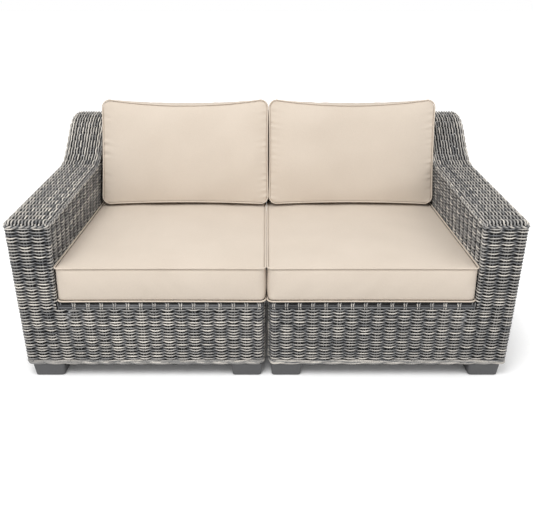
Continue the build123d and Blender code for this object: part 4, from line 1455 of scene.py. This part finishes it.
coated = grained("powder coat", linear(48, 46, 45), linear(58, 56, 54), 700, 0.0003,
                 Roughness=0.45, IOR=1.5)
moulded = grained("moulded foot", linear(76, 76, 77), linear(86, 86, 87), 500, 0.0003,
                  Roughness=0.62, IOR=1.5)
rubbery = grained("glide plastic", linear(38, 38, 40), linear(50, 50, 52), 500, 0.0002,
                  Roughness=0.5, IOR=1.5)
plated = grained("zinc plate", linear(170, 170, 168), linear(196, 196, 194), 300, 0.0001,
                 Roughness=0.3, Metallic=1.0)
tape = grained("zip tape", linear(196, 180, 160), linear(216, 200, 182), 900, 0.0004,
               Roughness=0.8, IOR=1.4)
print("speckled finishes:", [mat.name for mat in (coated, moulded, rubbery, plated, tape)])

# %% Elastic straps
strap, nodes, links, shader = finish("elastic strap", Roughness=0.8, IOR=1.4)
waves = placed(nodes, links, crossed, object_coords(nodes), Scale=60.0, Distortion=0.3, Detail=2.0)
ribs = plus(nodes, links, waves["Across"], waves["Along"], 0.4)
links.new(ramp(nodes, links, ribs, [(0.2, linear(40, 38, 36)), (1.0, linear(74, 70, 66))]),
          shader.inputs["Base Color"])
bump(nodes, links, ribs, shader, 0.5, 0.0008)
print(strap.name, "has", len(nodes), "nodes")

# %% Give every node of the solid model its finish
finishes = {"frame": coated, "foot_bolts": plated, "foot": moulded, "glide": rubbery,
            "webbing": strap, "slider": plated, "zip": tape}
for node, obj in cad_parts.items():
    for key, mat in finishes.items():
        if key in node:
            for slot in obj.material_slots:
                slot.material = mat
            break
print("finishes of the model's pieces:", sorted({mat.name for mat in finishes.values()}))

# %% [markdown]
# ## Floor and surroundings
#
# A plain white floor under soft light. A brighter lamp would burn the pale cushions out before
# the floor turned white. So the floor glows a little where the camera sees it directly, the more
# the farther it is from the seat, and close to the seat it keeps the shadow. The surroundings
# do the same: white for the camera and in reflections, and softer as a light on the seat.


# %% Floor
def seen_directly(nodes, links):
    """One for rays from the camera, and for those that a gloss or a glass sends on."""
    rays = nodes.new("ShaderNodeLightPath").outputs
    return math_node(nodes, links, "MAXIMUM", rays["Is Camera Ray"], math_node(
        nodes, links, "MAXIMUM", rays["Is Glossy Ray"], rays["Is Transmission Ray"]))


floor_mesh = bpy.data.meshes.new("floor")
half = 40.0
floor_mesh.from_pydata([(-half, -half, 0), (half, -half, 0), (half, half, 0), (-half, half, 0)],
                       [], [(0, 1, 2, 3)])
floor = bpy.data.objects.new("floor", floor_mesh)
bpy.context.scene.collection.objects.link(floor)
paper, nodes, links, shader = finish("floor paper", Roughness=0.9)
shader.inputs["Base Color"].default_value = (0.94, 0.94, 0.94, 1)
shader.inputs["Specular IOR Level"].default_value = 0.1
seen = seen_directly(nodes, links)
shader.inputs["Emission Color"].default_value = (1, 1, 1, 1)
place = nodes.new("ShaderNodeSeparateXYZ")
links.new(object_coords(nodes), place.inputs["Vector"])
gaps = []
for axis, seat_edge in (("X", module_width), ("Y", depth / 2)):
    size = math_node(nodes, links, "ABSOLUTE", place.outputs[axis], 0.0)
    gaps.append(math_node(nodes, links, "SUBTRACT", size, seat_edge))
from_seat = math_node(nodes, links, "MAXIMUM", *gaps)
glow = nodes.new("ShaderNodeMapRange")
glow.interpolation_type = "SMOOTHSTEP"
for key, value in (("From Min", -0.15), ("From Max", 0.55), ("To Min", 0.03), ("To Max", 0.62)):
    glow.inputs[key].default_value = value
links.new(from_seat, glow.inputs["Value"])
links.new(math_node(nodes, links, "MULTIPLY", seen, glow.outputs["Result"]),
          shader.inputs["Emission Strength"])
floor_mesh.materials.append(paper)
print("floor", 2 * half, "m wide")

# %% Surroundings
world = bpy.data.worlds.new("studio")
bpy.context.scene.world = world
world.use_nodes = True
nodes, links = world.node_tree.nodes, world.node_tree.links
sky = 0.62                      # brightness of the surroundings as a light
seen = math_node(nodes, links, "MULTIPLY", seen_directly(nodes, links), 1 - sky)
nodes["Background"].inputs["Color"].default_value = (1, 1, 1, 1)
links.new(math_node(nodes, links, "ADD", seen, sky), nodes["Background"].inputs["Strength"])
print("surroundings light the seat with", sky)

# %% [markdown]
# ## Lamps and camera
#
# One large soft lamp at the upper left gives the shadows their side, and a weaker one at the
# right opens them. A sun lamp would draw the strands' shadows too hard. The camera stands where
# the photograph was taken from: in the middle, above the arms, looking down at the seat.


# %% Lamps
def lamp(name, place, aim, size, power):
    """A square area lamp that looks at a point.

    A lamp looks down when unturned, so it is tilted from there by the angle between the way down
    and the line to the aim, and then turned about the vertical towards the aim.
    """
    data = bpy.data.lights.new(name, "AREA")
    data.size, data.energy = size, power
    obj = bpy.data.objects.new(name, data)
    obj.location = place
    line = np.array(aim) - np.array(place)
    turn = math.atan2(math.hypot(line[0], line[1]), -line[2])
    obj.rotation_euler = (turn, 0, math.atan2(line[1], line[0]) - math.pi / 2)
    bpy.context.scene.collection.objects.link(obj)


seat_middle = (0, 0, 0.4)
lamp("key", (-0.85, -1.95, 3.4), seat_middle, 2.2, 96)
lamp("fill", (2.2, -1.8, 2.6), seat_middle, 2.0, 20)
print("lamps:", {light.name: light.energy for light in bpy.data.lights})

# %% Camera
camera = bpy.data.objects.new("camera", bpy.data.cameras.new("camera"))
bpy.context.scene.collection.objects.link(camera)
camera.data.lens, camera.data.sensor_width = 42.80, 36.0
camera.location = (0.0, -2.4765, 1.3063)
camera.rotation_euler = (math.radians(67.04), 0, 0)
bpy.context.scene.camera = camera
bpy.context.scene.view_settings.view_transform = "Standard"
print("camera at", [round(v, 3) for v in camera.location], "lens", round(camera.data.lens, 1))
